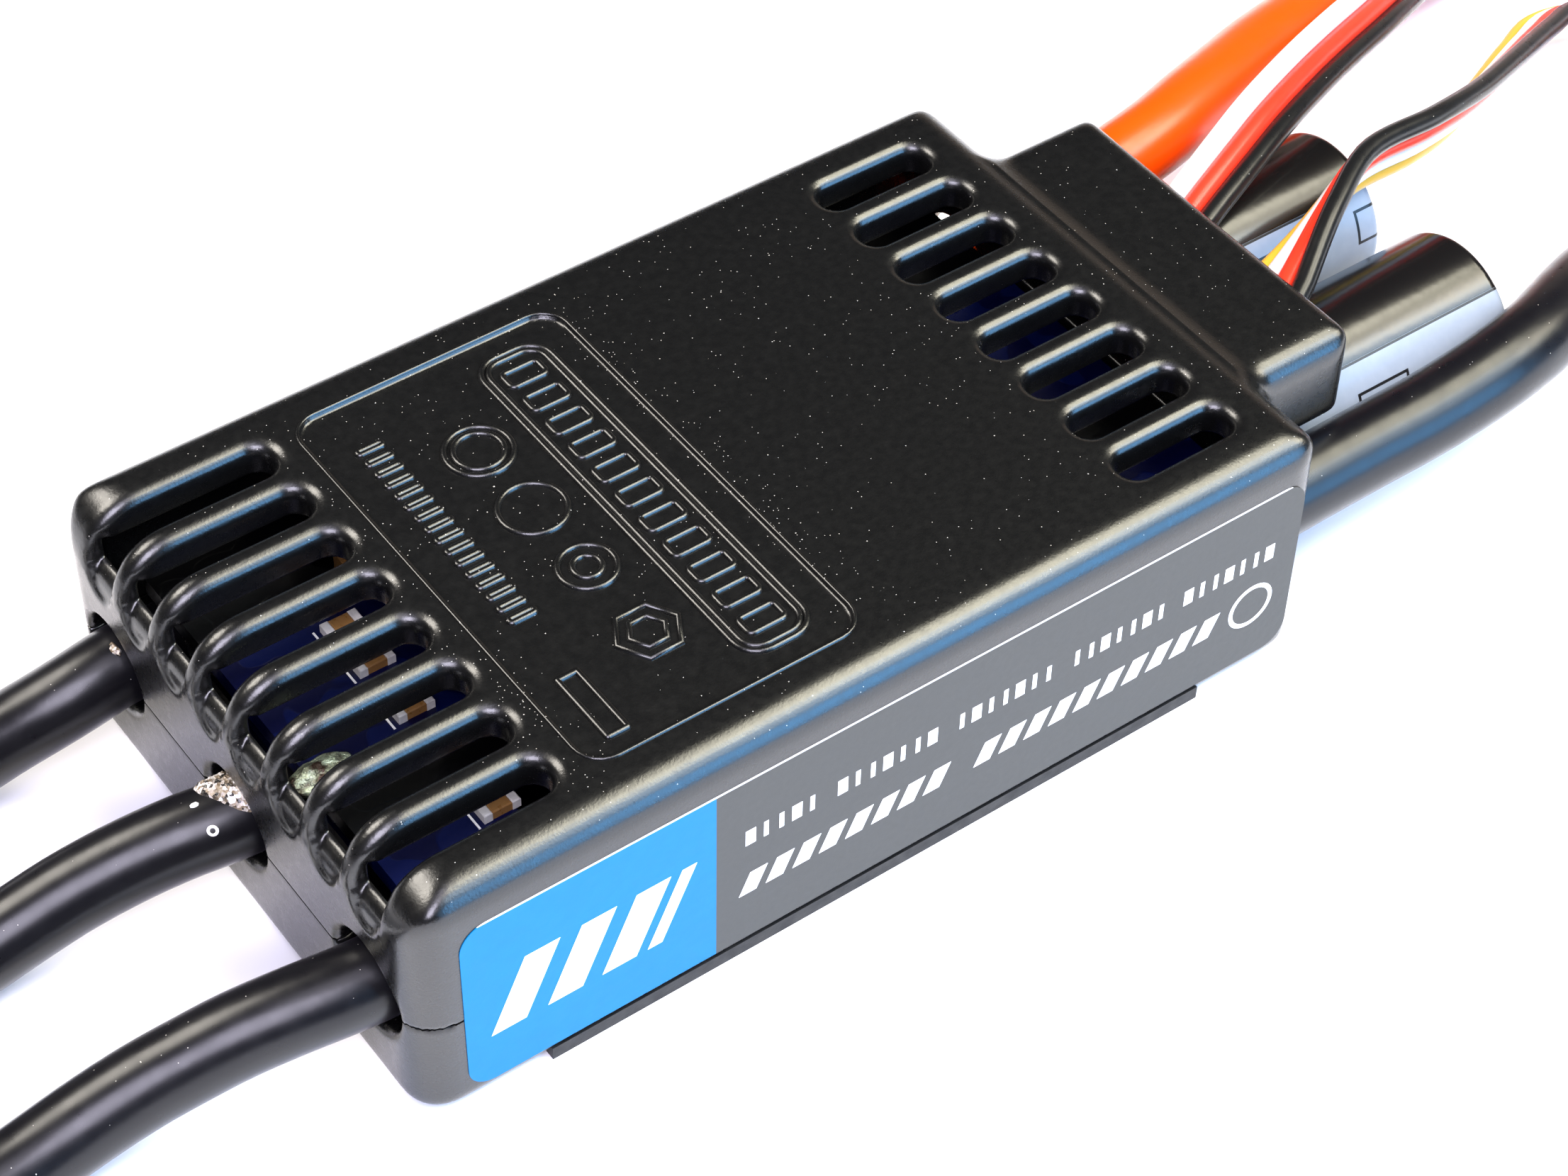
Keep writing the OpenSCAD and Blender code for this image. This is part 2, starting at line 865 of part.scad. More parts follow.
module program_contacts() {
    color("#d8b25a")
        translate(program_end)
            for (i = [0:3])
                translate([1.5, (i - 1.5) * 1.5 - 0.35, 0.3])
                    cube([5, 0.7, 0.3]);
}

upper_shell();
lower_shell();
heat_sink();
thermal_pad();
case_screws();
power_board();
mosfets();
ceramic_capacitors();
bus_bars();
control_board();
controller_chip();
driver_chips();
regulator_coil();
regulator_chip();
smd_resistors();
smd_capacitors();
board_pins();
motor_wire_cores();
battery_wire_cores();
solder_joints();
capacitor_can_1();
capacitor_can_2();
capacitor_sleeve_1();
capacitor_sleeve_2();
capacitor_bungs();
capacitor_leads();
side_label();
exit_sealant();
motor_lead_1();
motor_lead_2();
motor_lead_3();
bullet_socket_1();
bullet_socket_2();
bullet_socket_3();
lead_sleeve_1();
lead_sleeve_2();
lead_sleeve_3();
battery_lead_positive();
battery_lead_negative();
positive_lead_tip();
negative_lead_tip();
signal_cable();
signal_cable_hank();
signal_cable_tail();
signal_plug();
signal_contacts();
cable_ties();
program_cable();
program_plug();
program_contacts();
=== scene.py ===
"""The speed controller's looks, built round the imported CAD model, with Z up.

The pieces are laid out in millimetres; the camera, the lights and the floor are in metres.
"""

import math

import bpy
import numpy as np
import openvdb
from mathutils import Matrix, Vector


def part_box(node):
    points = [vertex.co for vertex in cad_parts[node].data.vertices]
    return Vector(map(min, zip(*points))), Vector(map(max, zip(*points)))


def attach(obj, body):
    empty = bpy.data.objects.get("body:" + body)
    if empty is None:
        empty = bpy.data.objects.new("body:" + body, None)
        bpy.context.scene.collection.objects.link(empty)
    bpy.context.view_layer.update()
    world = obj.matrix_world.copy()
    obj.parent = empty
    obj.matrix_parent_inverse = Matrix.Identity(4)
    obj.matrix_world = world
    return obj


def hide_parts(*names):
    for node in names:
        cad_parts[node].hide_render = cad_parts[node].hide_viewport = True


MM = 0.001
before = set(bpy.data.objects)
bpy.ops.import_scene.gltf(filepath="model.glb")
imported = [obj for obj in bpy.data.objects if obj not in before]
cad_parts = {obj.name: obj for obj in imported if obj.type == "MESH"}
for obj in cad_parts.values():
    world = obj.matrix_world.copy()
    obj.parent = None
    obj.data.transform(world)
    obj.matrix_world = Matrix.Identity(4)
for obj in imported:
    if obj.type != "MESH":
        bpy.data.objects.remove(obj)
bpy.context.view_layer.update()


# ---------------------------------------------------------------- camera
camera = bpy.data.objects.new("camera", bpy.data.cameras.new("camera"))
camera.data.sensor_width = 36
camera.data.lens = 80.5
camera.data.clip_start = 0.01
camera.location = (-0.0883, -0.1104, 0.1483)
camera.rotation_euler = [math.radians(a) for a in (43.54, -0.91, -35.91)]
bpy.context.scene.collection.objects.link(camera)
bpy.context.scene.camera = camera


# ---------------------------------------------------------------- frame sizes
def box_mm(*nodes):
    """The box of these CAD nodes together, in millimetres."""
    lows, highs = zip(*(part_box(n) for n in nodes))
    return np.min(lows, 0) / MM, np.max(highs, 0) / MM


shell_low, shell_high = box_mm("upper_shell")
lower_low, lower_high = box_mm("lower_shell")
sink_low, sink_high = box_mm("heat_sink")
label_low, label_high = box_mm("side_label")

# The motor leads leave the case at X0 and the battery leads at X1; the hood goes on to HOOD_X
X0 = shell_low[0]
X1 = lower_high[0]
HOOD_X = shell_high[0]
XM = (X0 + X1) / 2
LENGTH = X1 - X0
HALF_W = shell_high[1]
TOP = shell_high[2]
PART_Z = lower_high[2]
BASE = lower_low[2]
WALL = 1.3
SINK_HALF_L = (sink_high[0] - sink_low[0]) / 2

# Where the leads cross the case's ends, how thick they are, and how far inside they begin
MOTOR_Y = (13.1, 0, -13.1)
BATTERY_Y = 13.4
LEAD_Z = PART_Z - 0.1
MOTOR_D, BATTERY_D = 4.5, 5.0
WIRE_INSIDE = 3.4

# The capacitors lie along X, one on each side of the middle
CAP_Y, CAP_Z = 5.8, 5.2


# ---------------------------------------------------------------- materials
class Shader:
    """A material on the Principled shader, with short calls for the usual nodes."""

    def __init__(self, name, color, rough, metal=0.0, **sockets):
        self.material = bpy.data.materials.new(name)
        self.material.use_nodes = True
        self.tree = self.material.node_tree
        self.bsdf = self.tree.nodes["Principled BSDF"]
        self.set("Base Color", (*color, 1))
        self.set("Roughness", rough)
        self.set("Metallic", metal)
        for socket, value in sockets.items():
            self.set(socket.replace("_", " "), value)
        self.coords = None

    def set(self, socket, value):
        self.bsdf.inputs[socket].default_value = value

    def node(self, kind, inputs=(), **settings):
        made = self.tree.nodes.new(kind)
        for key, value in settings.items():
            setattr(made, key, value)
        for key, value in dict(inputs).items():
            if hasattr(value, "is_linked"):
                self.tree.links.new(value, made.inputs[key])
            else:
                made.inputs[key].default_value = value
        return made

    def place(self):
        """The object's own coordinates, in metres."""
        if self.coords is None:
            self.coords = self.node("ShaderNodeTexCoord").outputs["Object"]
        return self.coords

    def axes(self):
        return self.node("ShaderNodeSeparateXYZ", {"Vector": self.place()}).outputs

    def noise(self, scale, detail):
        inputs = {"Vector": self.place(), "Scale": scale, "Detail": detail}
        return self.node("ShaderNodeTexNoise", inputs).outputs["Fac"]

    def cells(self, scale, output="Distance"):
        inputs = {"Vector": self.place(), "Scale": scale}
        return self.node("ShaderNodeTexVoronoi", inputs).outputs[output]

    def math(self, operation, a, b=0.0):
        return self.node("ShaderNodeMath", {0: a, 1: b}, operation=operation).outputs[0]

    def band(self, value, low, high):
        """1 where a value lies between two limits, else 0."""
        gap = self.math("ABSOLUTE", self.math("SUBTRACT", value, (low + high) / 2))
        return self.math("LESS_THAN", gap, (high - low) / 2)

    def step(self, value, low, high, out_low=0.0, out_high=1.0):
        """The range low to high stretched to another one, and held at its ends."""
        inputs = {
            "Value": value,
            "From Min": low,
            "From Max": high,
            "To Min": out_low,
            "To Max": out_high,
        }
        return self.node("ShaderNodeMapRange", inputs).outputs["Result"]

    def mix(self, factor, a, b):
        """A blend of two colours, from the first at 0 to the second at 1."""
        made = self.node("ShaderNodeMix", data_type="RGBA")
        for index, value in ((0, factor), (6, a), (7, b)):
            if hasattr(value, "is_linked"):
                self.tree.links.new(value, made.inputs[index])
            elif index:
                made.inputs[index].default_value = (*value, 1)
            else:
                made.inputs[index].default_value = value
        return made.outputs[2]

    def link(self, value, socket):
        self.tree.links.new(value, self.bsdf.inputs[socket])

    def bump(self, height, distance, strength=1.0):
        made = self.node(
            "ShaderNodeBump",
            {"Height": height, "Distance": distance, "Strength": strength},
        )
        self.link(made.outputs["Normal"], "Normal")


DUST = (0.36, 0.34, 0.31)
# Cells per metre, a speck's radius in its cell, share of the cells that hold one, stretch
DUST_LAYERS = (
    (4200, 0.12, 0.20, (1, 1, 1)),
    (2200, 0.08, 0.11, (1, 1, 1)),
    (700, 0.045, 0.05, (1, 1, 1)),
    (800, 0.03, 0.05, (0.15, 1, 1)),
)
FIBRE_TURN = 0.7


def dusty(shader, color, amount, gathers=None):
    """Fine specks and short fibres of dust over a colour, on what faces up.

    Where gathers is 1 there is three times as much of it.
    """
    normal = shader.node("ShaderNodeNewGeometry").outputs["Normal"]
    up = shader.node("ShaderNodeSeparateXYZ", {"Vector": normal}).outputs[2]
    share = shader.step(shader.noise(160, 3), 0.38, 0.62, 0.25 * amount, amount)
    share = shader.math("MULTIPLY", share, shader.step(up, 0.3, 0.8))
    if gathers is not None:
        share = shader.math("MULTIPLY", share, shader.step(gathers, 0, 1, 1, 3))
    found = None
    for scale, radius, weight, stretch in DUST_LAYERS:
        turn = (0, 0, FIBRE_TURN if stretch[0] < 1 else 0)
        placing = {"Vector": shader.place(), "Scale": stretch, "Rotation": turn}
        at = shader.node("ShaderNodeMapping", placing).outputs[0]
        cell = shader.node("ShaderNodeTexVoronoi", {"Vector": at, "Scale": scale}).outputs
        chance = shader.node("ShaderNodeSeparateColor", {"Color": cell["Color"]}).outputs[0]
        speck = shader.math(
            "MULTIPLY",
            shader.math("LESS_THAN", cell["Distance"], radius),
            shader.math("LESS_THAN", chance, shader.math("MULTIPLY", share, weight)),
        )
        found = speck if found is None else shader.math("MAXIMUM", found, speck)
    shader.link(shader.mix(found, color, DUST), "Base Color")


# Dust gathers on both sides of the roof's panel: two strips across the case
DUSTY_X = [((X0 + a) * MM, (X0 + b) * MM) for a, b in ((10.8, 13.4), (29.2, 31.5))]
DUSTY_HALF_W = 15.5 * MM


def case_plastic(name):
    """Satin black plastic with a fine moulded grain."""
    color, rough = (0.0020, 0.0020, 0.0021), 0.27
    s = Shader(name, color, rough, IOR=1.58)
    x, y, _ = s.axes()
    beside = s.math("MAXIMUM", s.band(x, *DUSTY_X[0]), s.band(x, *DUSTY_X[1]))
    dusty(s, color, 1.0, s.math("MULTIPLY", beside, s.band(y, -DUSTY_HALF_W, DUSTY_HALF_W)))
    s.link(s.step(s.noise(1800, 4), 0.3, 0.7, rough - 0.02, rough + 0.04), "Roughness")
    s.bump(s.noise(6500, 2), 0.000011, 0.7)
    return s.material


def flat_color(name, color, rough, metal=0.0, scale=600, vary=0.25, relief=0.00002):
    """A plain finish whose colour, roughness and surface vary slightly."""
    s = Shader(name, color, rough, metal)
    patch = s.noise(scale, 4)
    darker = tuple(c * (1 - vary) for c in color)
    s.link(s.mix(patch, darker, tuple(min(1, c * (1 + vary)) for c in color)), "Base Color")
    s.link(s.step(patch, 0.3, 0.7, rough * 0.85, min(1, rough * 1.2)), "Roughness")
    s.bump(s.noise(scale * 6, 3), relief, 0.5)
    return s.material


def silicone(name, color, rough, sheen=(0.5, 0.45, 0.6), dust=0.35):
    """Soft insulation with a faint sheen and, on the black ones, some dust."""
    sockets = {"Specular_IOR_Level": 0.36, "Sheen_Weight": 0.02, "Sheen_Roughness": 0.4}
    s = Shader(name, color, rough, **sockets)
    s.set("Sheen Tint", (*sheen, 1))
    dusty(s, color, dust)
    s.link(s.step(s.noise(900, 4), 0.3, 0.7, rough - 0.02, rough + 0.04), "Roughness")
    s.bump(s.noise(900, 3), 0.00003, 0.4)
    return s.material


# Across Y, the board is painted black as shade between the first two of these and past the third
SHADED_Y = (-8.4 * MM, -4.4 * MM, 8.2 * MM)


def board_mask(name):
    """Dark blue solder mask, uneven over the copper under it, painted black where it lies in
    shade.
    """
    s = Shader(name, (0.0006, 0.0012, 0.02), 0.3, Specular_IOR_Level=0.25)
    copper = s.step(s.noise(420, 1), 0.5, 0.53)
    mask = s.mix(copper, (0.0005, 0.001, 0.018), (0.0008, 0.003, 0.034))
    y = s.axes()[1]
    shaded_strip = s.band(y, *SHADED_Y[:2])
    painted_shade = s.math("MAXIMUM", shaded_strip, s.math("GREATER_THAN", y, SHADED_Y[2]))
    # Painted shade: near black over the stretches of the board that lie in shadow
    s.link(s.mix(painted_shade, mask, (0.0005, 0.0005, 0.0008)), "Base Color")
    s.bump(s.math("ADD", copper, s.noise(2500, 2)), 0.00003, 0.4)
    return s.material


BLACK = case_plastic("case_black")
LEAD_BLACK = silicone("silicone_black", (0.003, 0.0028, 0.004), 0.29)
LEAD_RED = silicone("silicone_red", (0.78, 0.056, 0.0006), 0.3, (1.0, 0.5, 0.1), 0.0)
WIRE = {
    "white": silicone("strand_white", (0.62, 0.60, 0.60), 0.35, (1, 1, 1), 0.0),
    "red": silicone("strand_red", (0.74, 0.03, 0.012), 0.3, (1, 0.4, 0.4), 0.0),
    "black": silicone("strand_black", (0.005, 0.005, 0.005), 0.28),
    "yellow": silicone("strand_yellow", (0.62, 0.33, 0.03), 0.35, (1, 0.9, 0.6), 0.0),
}
SHRINK = flat_color("shrink_black", (0.008, 0.008, 0.0085), 0.42, scale=300)
GOLD = flat_color("gold_plate", (0.83, 0.60, 0.24), 0.22, 1.0, scale=900, vary=0.08)
COPPER = flat_color("copper", (0.80, 0.42, 0.26), 0.3, 1.0, scale=700, vary=0.15)
TIN = flat_color("tin", (0.72, 0.71, 0.68), 0.28, 1.0, scale=1500, vary=0.15)
CAN = flat_color("can_metal", (0.80, 0.80, 0.82), 0.3, 1.0, scale=900, vary=0.06)
ANODISED = flat_color("anodised_black", (0.006, 0.006, 0.0065), 0.5, 0.3, scale=1200)
STEEL = flat_color("screw_steel", (0.16, 0.16, 0.17), 0.35, 1.0, scale=900)
CHIP = flat_color("chip_black", (0.008, 0.008, 0.009), 0.5, scale=2500)
CERAMIC = flat_color("ceramic_tan", (0.30, 0.15, 0.045), 0.3, scale=3000)
PALE = flat_color("resistor_pale", (0.72, 0.70, 0.66), 0.4, scale=3000)
PAD = flat_color("thermal_pad", (0.42, 0.47, 0.53), 0.7, scale=2500)
RUBBER = flat_color("bung_rubber", (0.012, 0.012, 0.012), 0.7, scale=2500)
NATURAL = flat_color("plug_natural", (0.80, 0.78, 0.70), 0.45, scale=700, vary=0.04)
BOARD = board_mask("solder_mask")

for names, material in (
    (("thermal_pad",), PAD),
    (("case_screws",), STEEL),
    (("heat_sink",), ANODISED),
    (("power_board", "control_board"), BOARD),
    (("mosfets", "controller_chip", "driver_chips", "regulator_coil"), CHIP),
    (("regulator_chip",), CHIP),
    (("ceramic_capacitors", "smd_capacitors"), CERAMIC),
    (("bus_bars",), COPPER),
    (("board_pins", "signal_contacts", "program_contacts"), GOLD),
    (("motor_wire_cores", "battery_wire_cores", "solder_joints"), TIN),
    (("capacitor_leads", "positive_lead_tip", "negative_lead_tip"), TIN),
    (("capacitor_can_1", "capacitor_can_2"), CAN),
    (("capacitor_bungs",), RUBBER),
    (("bullet_socket_1", "bullet_socket_2", "bullet_socket_3"), GOLD),
    (("lead_sleeve_1", "lead_sleeve_2", "lead_sleeve_3"), SHRINK),
    (("signal_plug", "cable_ties", "lower_shell", "upper_shell"), BLACK),
    (("program_plug",), NATURAL),
):
    for name in names:
        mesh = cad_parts[name].data
        mesh.materials.clear()
        mesh.materials.append(material)


# ---------------------------------------------------------------- pieces
def piece(name, points, faces, materials, indices=None, smooth=35):
    """A mesh piece given in millimetres, riding on the one body."""
    mesh = bpy.data.meshes.new(name)
    mesh.from_pydata((np.asarray(points, float) * MM).tolist(), [], faces)
    for material in materials:
        mesh.materials.append(material)
    if indices is not None:
        mesh.polygons.foreach_set("material_index", indices)
    mesh.polygons.foreach_set("use_smooth", [True] * len(mesh.polygons))
    mesh.set_sharp_from_angle(angle=math.radians(smooth))
    mesh.update()
    made = bpy.data.objects.new(name, mesh)
    bpy.context.scene.collection.objects.link(made)
    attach(made, "root")
    return made


# ---------------------------------------------------------------- cords
def smooth_path(route, step=1.0):
    """A smooth curve through the points, cut into short equal steps."""
    per_span = 24
    p = np.array(route, float)
    p = np.vstack([2 * p[0] - p[1], p, 2 * p[-1] - p[-2]])
    fine = []
    for a, b, c, d in zip(p, p[1:], p[2:], p[3:]):
        gap = np.linalg.norm(c - b)
        m0 = gap * ((c - a) / (gap + np.linalg.norm(b - a)))
        m1 = gap * ((d - b) / (gap + np.linalg.norm(d - c)))
        for t in np.linspace(0, 1, per_span, endpoint=False):
            fine.append(
                (2 * t**3 - 3 * t**2 + 1) * b
                + (t**3 - 2 * t**2 + t) * m0
                + (3 * t**2 - 2 * t**3) * c
                + (t**3 - t**2) * m1
            )
    fine = np.array(fine + [p[-2]])
    along = np.r_[0, np.cumsum(np.linalg.norm(np.diff(fine, axis=0), axis=1))]
    even = np.linspace(0, along[-1], max(2, round(along[-1] / step)) + 1)
    return np.column_stack([np.interp(even, along, fine[:, k]) for k in range(3)])


def frames(path):
    """Tangent, level side and up direction at each point of a path."""
    t = np.gradient(path, axis=0)
    t /= np.linalg.norm(t, axis=1)[:, None]
    side = np.cross([0, 0, 1], t)
    side /= np.linalg.norm(side, axis=1)[:, None]
    return t, side, np.cross(t, side)


def tube(path, side, up, radius, count):
    """Points and faces of a capped tube along a path."""
    angles = np.arange(count) * 2 * math.pi / count
    rings = (
        path[:, None]
        + radius * np.cos(angles)[None, :, None] * side[:, None]
        + radius * np.sin(angles)[None, :, None] * up[:, None]
    )
    faces = [
        (i * count + k, i * count + (k + 1) % count,
         (i + 1) * count + (k + 1) % count, (i + 1) * count + k)
        for i in range(len(path) - 1)
        for k in range(count)
    ]
    last = (len(path) - 1) * count
    faces += [tuple(range(count - 1, -1, -1)), tuple(range(last, last + count))]
    return rings.reshape(-1, 3), faces


def lead(name, route, diameter, material, node):
    """A thick silicone lead along a route."""
    path = smooth_path(route)
    _, side, up = frames(path)
    made = piece(name, *tube(path, side, up, diameter / 2, 28), [material], smooth=60)
    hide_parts(node)


# Strands are this much wider than their pitch, so that they join along their sides
STRANDS_MEET = 1.03


def ribbon(name, path, roll, colors, width, nodes):
    """Strands side by side, the first on the left of the direction of travel."""
    _, side, up = frames(path)
    across = side * np.cos(roll)[:, None] + up * np.sin(roll)[:, None]
    pitch = width / len(colors)
    radius = pitch / 2 * STRANDS_MEET
    points, faces, indices = [], [], []
    for k in range(len(colors)):
        strand = path + across * pitch * ((len(colors) - 1) / 2 - k)
        ring, skin = tube(strand, side, up, radius, 12)
        faces += [tuple(i + sum(map(len, points)) for i in f) for f in skin]
        indices += [k] * len(skin)
        points.append(ring)
    made = piece(
        name, np.vstack(points), faces, [WIRE[c] for c in colors], indices, smooth=70
    )
    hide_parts(*nodes)


MOTOR_ROUTES = [
    [(X0 + WIRE_INSIDE, MOTOR_Y[0], LEAD_Z), (-41, 13, 7.1), (-43, 13, 6.7),
     (-45, 13.3, 6), (-47.5, 14, 4.8), (-50, 14.6, 3.6), (-53, 15.2, 2.7), (-56, 15.6, 2.3),
     (-61, 15.8, 2.25), (-67, 15.7, 2.25), (-74, 15.5, 2.25), (-81, 15.2, 2.25),
     (-88, 15, 2.25), (-95, 14.8, 2.25), (-103, 14.7, 2.25)],
    [(X0 + WIRE_INSIDE, MOTOR_Y[1], LEAD_Z), (-41, 0.1, 7.1), (-43.9, 0.8, 6.7),
     (-46.6, 1.5, 6), (-49.6, 2.1, 5.1), (-52, 2.4, 4.3), (-54.5, 2.6, 3.5),
     (-57.5, 2.7, 2.7), (-61, 2.7, 2.3), (-66, 2.6, 2.25), (-72, 2.4, 2.25),
     (-79, 2.2, 2.25), (-86, 2, 2.25), (-93, 1.9, 2.25), (-103, 1.8, 2.25)],
    [(X0 + WIRE_INSIDE, MOTOR_Y[2], LEAD_Z), (-41, -13, 7.1), (-44.8, -12.2, 6.7),
     (-47.5, -11.5, 6.1), (-50, -10.9, 5.3), (-52.5, -10.4, 4.5), (-55.5, -10.1, 3.6),
     (-59, -10.1, 2.8), (-63, -10.3, 2.35), (-68, -10.6, 2.25), (-74, -10.9, 2.25),
     (-81, -11.2, 2.25), (-88, -11.4, 2.25), (-95, -11.5, 2.25), (-103, -11.6, 2.25)],
]
for number, route in enumerate(MOTOR_ROUTES, 1):
    lead(
        f"motor_wire_{number}", route, MOTOR_D, LEAD_BLACK,
        f"motor_lead_{number}",
    )

NEGATIVE_ROUTE = [
    (X1 - WIRE_INSIDE, -BATTERY_Y, LEAD_Z), (18.1, -13.4, 7.1), (22.2, -13.4, 7.2),
    (26.4, -13.5, 7.4), (30.2, -13.7, 7.7), (34, -13.75, 8.1), (37.1, -13.55, 8.35),
    (40.4, -12.95, 8.3), (44.1, -11.6, 7.7), (47.8, -10.2, 6.8), (52, -9.0, 5.7),
    (56.5, -8.2, 4.6), (61.5, -7.8, 3.5), (67, -7.8, 2.75), (73, -8.1, 2.5),
    (81, -8.5, 2.5), (90, -8.8, 2.5), (98, -9, 2.5), (106, -9, 2.5), (114, -9, 2.5),
]
POSITIVE_ROUTE = [
    (X1 - WIRE_INSIDE, BATTERY_Y, LEAD_Z), (18.1, 13.4, 7.1), (22, 13.4, 7.3),
    (26, 13.5, 7.7), (30, 13.9, 8.1), (34, 14.6, 8.2), (37.5, 15.7, 8), (41.3, 17, 7.5),
    (45.8, 18.6, 6.8), (50.7, 20.1, 6), (55.2, 21.7, 5.1), (60, 24, 4.1),
    (65, 26.6, 3.2), (70, 29, 2.6), (76, 31.2, 2.5), (83, 33.2, 2.5), (90, 34.2, 2.5),
    (98, 34.4, 2.5), (107, 34.4, 2.5),
]
lead(
    "battery_wire_negative", NEGATIVE_ROUTE, BATTERY_D, LEAD_BLACK,
    "battery_lead_negative",
)
lead(
    "battery_wire_positive", POSITIVE_ROUTE, BATTERY_D, LEAD_RED,
    "battery_lead_positive",
)

# The signal cable runs out, then goes one and a half turns round a tied hank, standing on edge.
# The hank's folds are centred at HANK_X0 and HANK_X1, and each turn lies TURN inside the last.
STRAND = 1.3
HANK_X0, HANK_X1, HANK_Y, HANK_R, HANK_Z, TURN = 92, 126, 17.8, 13.1, 2.0, 1.45
HANK_MID = HANK_X0 + 19
SIGNAL_ROUTE = [
    (20, 2.6, 12.4), (25.8, 3.6, 12.5), (28.5, 4.6, 12.8), (32, 6, 13.1),
    (36.4, 7.9, 13.1), (42.2, 10.5, 12.2), (46.7, 12.5, 11.2), (51.7, 14.7, 9.9),
    (56.5, 17, 8.4), (61.5, 19.5, 6.5), (66.5, 21.2, 4.8), (71.5, 20.8, 3.3),
    (76.3, 17.4, 2.5), (80.5, 12.2, 2.1), (85.5, 7, 2), (HANK_X0, HANK_Y - HANK_R, 2),
]
SIGNAL_ROLL = [0, 0, 5, 10, 20, 25, 30, 30, 35, 50, 65, 80, 90, 90, 90, 90]
TAIL_ROUTE = [
    (HANK_X1, HANK_Y + HANK_R - TURN, 2), (121, 28.6, 2), (116.5, 25.6, 1.9),
    (112.5, 21.8, 1.8), (108.5, 18.8, 1.5), (104, 17.8, 1.3),
]
TAIL_ROLL = [90, 90, 75, 45, 15, 0]
PROGRAM_ROUTE = [
    (20, -5, 12.4), (23, -4.9, 12.4), (25.5, -4.5, 12.4), (28.2, -3.3, 12.5),
    (32.8, -1.2, 13), (37.6, 0.9, 13), (44, 2, 11.8), (49.5, 3.8, 10.2),
    (56, 6.8, 8.2), (62.5, 10, 6.1), (67.3, 12, 4.6), (72, 11.4, 3.2),
    (77, 7.6, 2.1), (82, 3.4, 1.3), (88, 0, 0.8), (95, -1.2, 0.7),
    (102, -1.3, 0.7), (110, -1.3, 0.8),
]
PROGRAM_ROLL = [0, 0, -18, -42, -66, -73, -71, -65, -57, -48, -42, -32, -16, 0, 0, 0, 0, 0]


def half_turn(x, start_r, end_r, sign):
    """A fold of the hank from the lower run to the upper one, or back."""
    parts = 14
    angles = np.linspace(-90, 90, parts + 1)[1:]
    radii = np.linspace(start_r, end_r, parts + 1)[1:]
    return [
        (x + sign * r * math.cos(math.radians(a)),
         HANK_Y + sign * r * math.sin(math.radians(a)), HANK_Z)
        for a, r in zip(angles, radii)
    ]


inner = HANK_R - TURN
hank = half_turn(HANK_X1, HANK_R, HANK_R, 1)
hank += [(HANK_MID, HANK_Y + HANK_R, HANK_Z), (HANK_X0, HANK_Y + HANK_R, HANK_Z)]
hank += half_turn(HANK_X0, HANK_R, inner, -1)
hank += [(HANK_MID, HANK_Y - inner, HANK_Z), (HANK_X1, HANK_Y - inner, HANK_Z)]
hank += half_turn(HANK_X1, inner, inner, 1)[:-1]
lower_run = [(HANK_MID, HANK_Y - HANK_R, HANK_Z), (HANK_X1, HANK_Y - HANK_R, HANK_Z)]
signal_line = SIGNAL_ROUTE + lower_run + hank + TAIL_ROUTE
signal_rolls = SIGNAL_ROLL + [90] * (len(lower_run) + len(hank)) + TAIL_ROLL


def path_and_roll(route, rolls):
    """The smooth path of a flat cable, and how far it is turned at each point of it."""
    path = smooth_path(route)
    legs = np.r_[0, np.cumsum([math.dist(a, b) for a, b in zip(route, route[1:])])]
    turned = np.interp(np.linspace(0, legs[-1], len(path)), legs, rolls)
    spread = 4
    taps = np.ones(2 * spread + 1) / (2 * spread + 1)
    eased = np.convolve(np.pad(turned, spread, mode="edge"), taps, mode="valid")
    return path, np.radians(eased)


path, roll = path_and_roll(signal_line, signal_rolls)
ribbon(
    "signal_wires", path, roll, ["white", "red", "black"], 3 * STRAND,
    ["signal_cable", "signal_cable_hank", "signal_cable_tail"],
)
path, roll = path_and_roll(PROGRAM_ROUTE, PROGRAM_ROLL)
ribbon(
    "program_wires", path, roll, ["yellow", "white", "red", "black"], 4 * STRAND,
    ["program_cable"],
)


# ---------------------------------------------------------------- case
# Both shells are fields of signed distance on a grid of this pitch, below 0 inside the plastic
STEP = 0.17


def round_box(u, v, half_u, half_v, r):
    """Distance to a rectangle with round corners, in its own plane."""
    qu, qv = np.abs(u) - half_u + r, np.abs(v) - half_v + r
    return np.hypot(np.maximum(qu, 0), np.maximum(qv, 0)) + np.minimum(np.maximum(qu, qv), 0) - r


def soft_max(a, b, k):
    """The larger of two distances, rounded by k where they meet."""
    h = np.maximum(k - np.abs(a - b), 0) / k
    return np.maximum(a, b) + h * h * k / 4


def soft_min(a, b, k):
    """The smaller of two distances, rounded by k where they meet."""
    return -soft_max(-a, -b, k)


def blur(field, sigma):
    """The same distances with every crease slightly rounded."""
    reach = int(math.ceil(2.5 * sigma / STEP))
    taps = np.exp(-0.5 * (np.arange(-reach, reach + 1) * STEP / sigma) ** 2)
    taps = (taps / taps.sum()).astype(np.float32)
    for axis in range(3):
        margins = [(reach, reach) if a == axis else (0, 0) for a in range(3)]
        padded = np.pad(field, margins, mode="edge")
        size = field.shape[axis]
        field = sum(
            w * np.take(padded, range(i, i + size), axis=axis) for i, w in enumerate(taps)
        )
    return field


def skin(name, field, low, material, node, slot):
    """The surface where a field of distances is zero."""
    reach = 3 * STEP
    grid = openvdb.FloatGrid(background=reach)
    grid.copyFromArray(np.ascontiguousarray(np.clip(field, -reach, reach)))
    points, triangles, quads = grid.convertToPolygons(isovalue=0.0, adaptivity=0.0)
    faces = [tuple(f[::-1]) for part in (quads, triangles) for f in part.tolist()]
    made = piece(name, points * STEP + low, faces, [material], smooth=50)
    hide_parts(node)


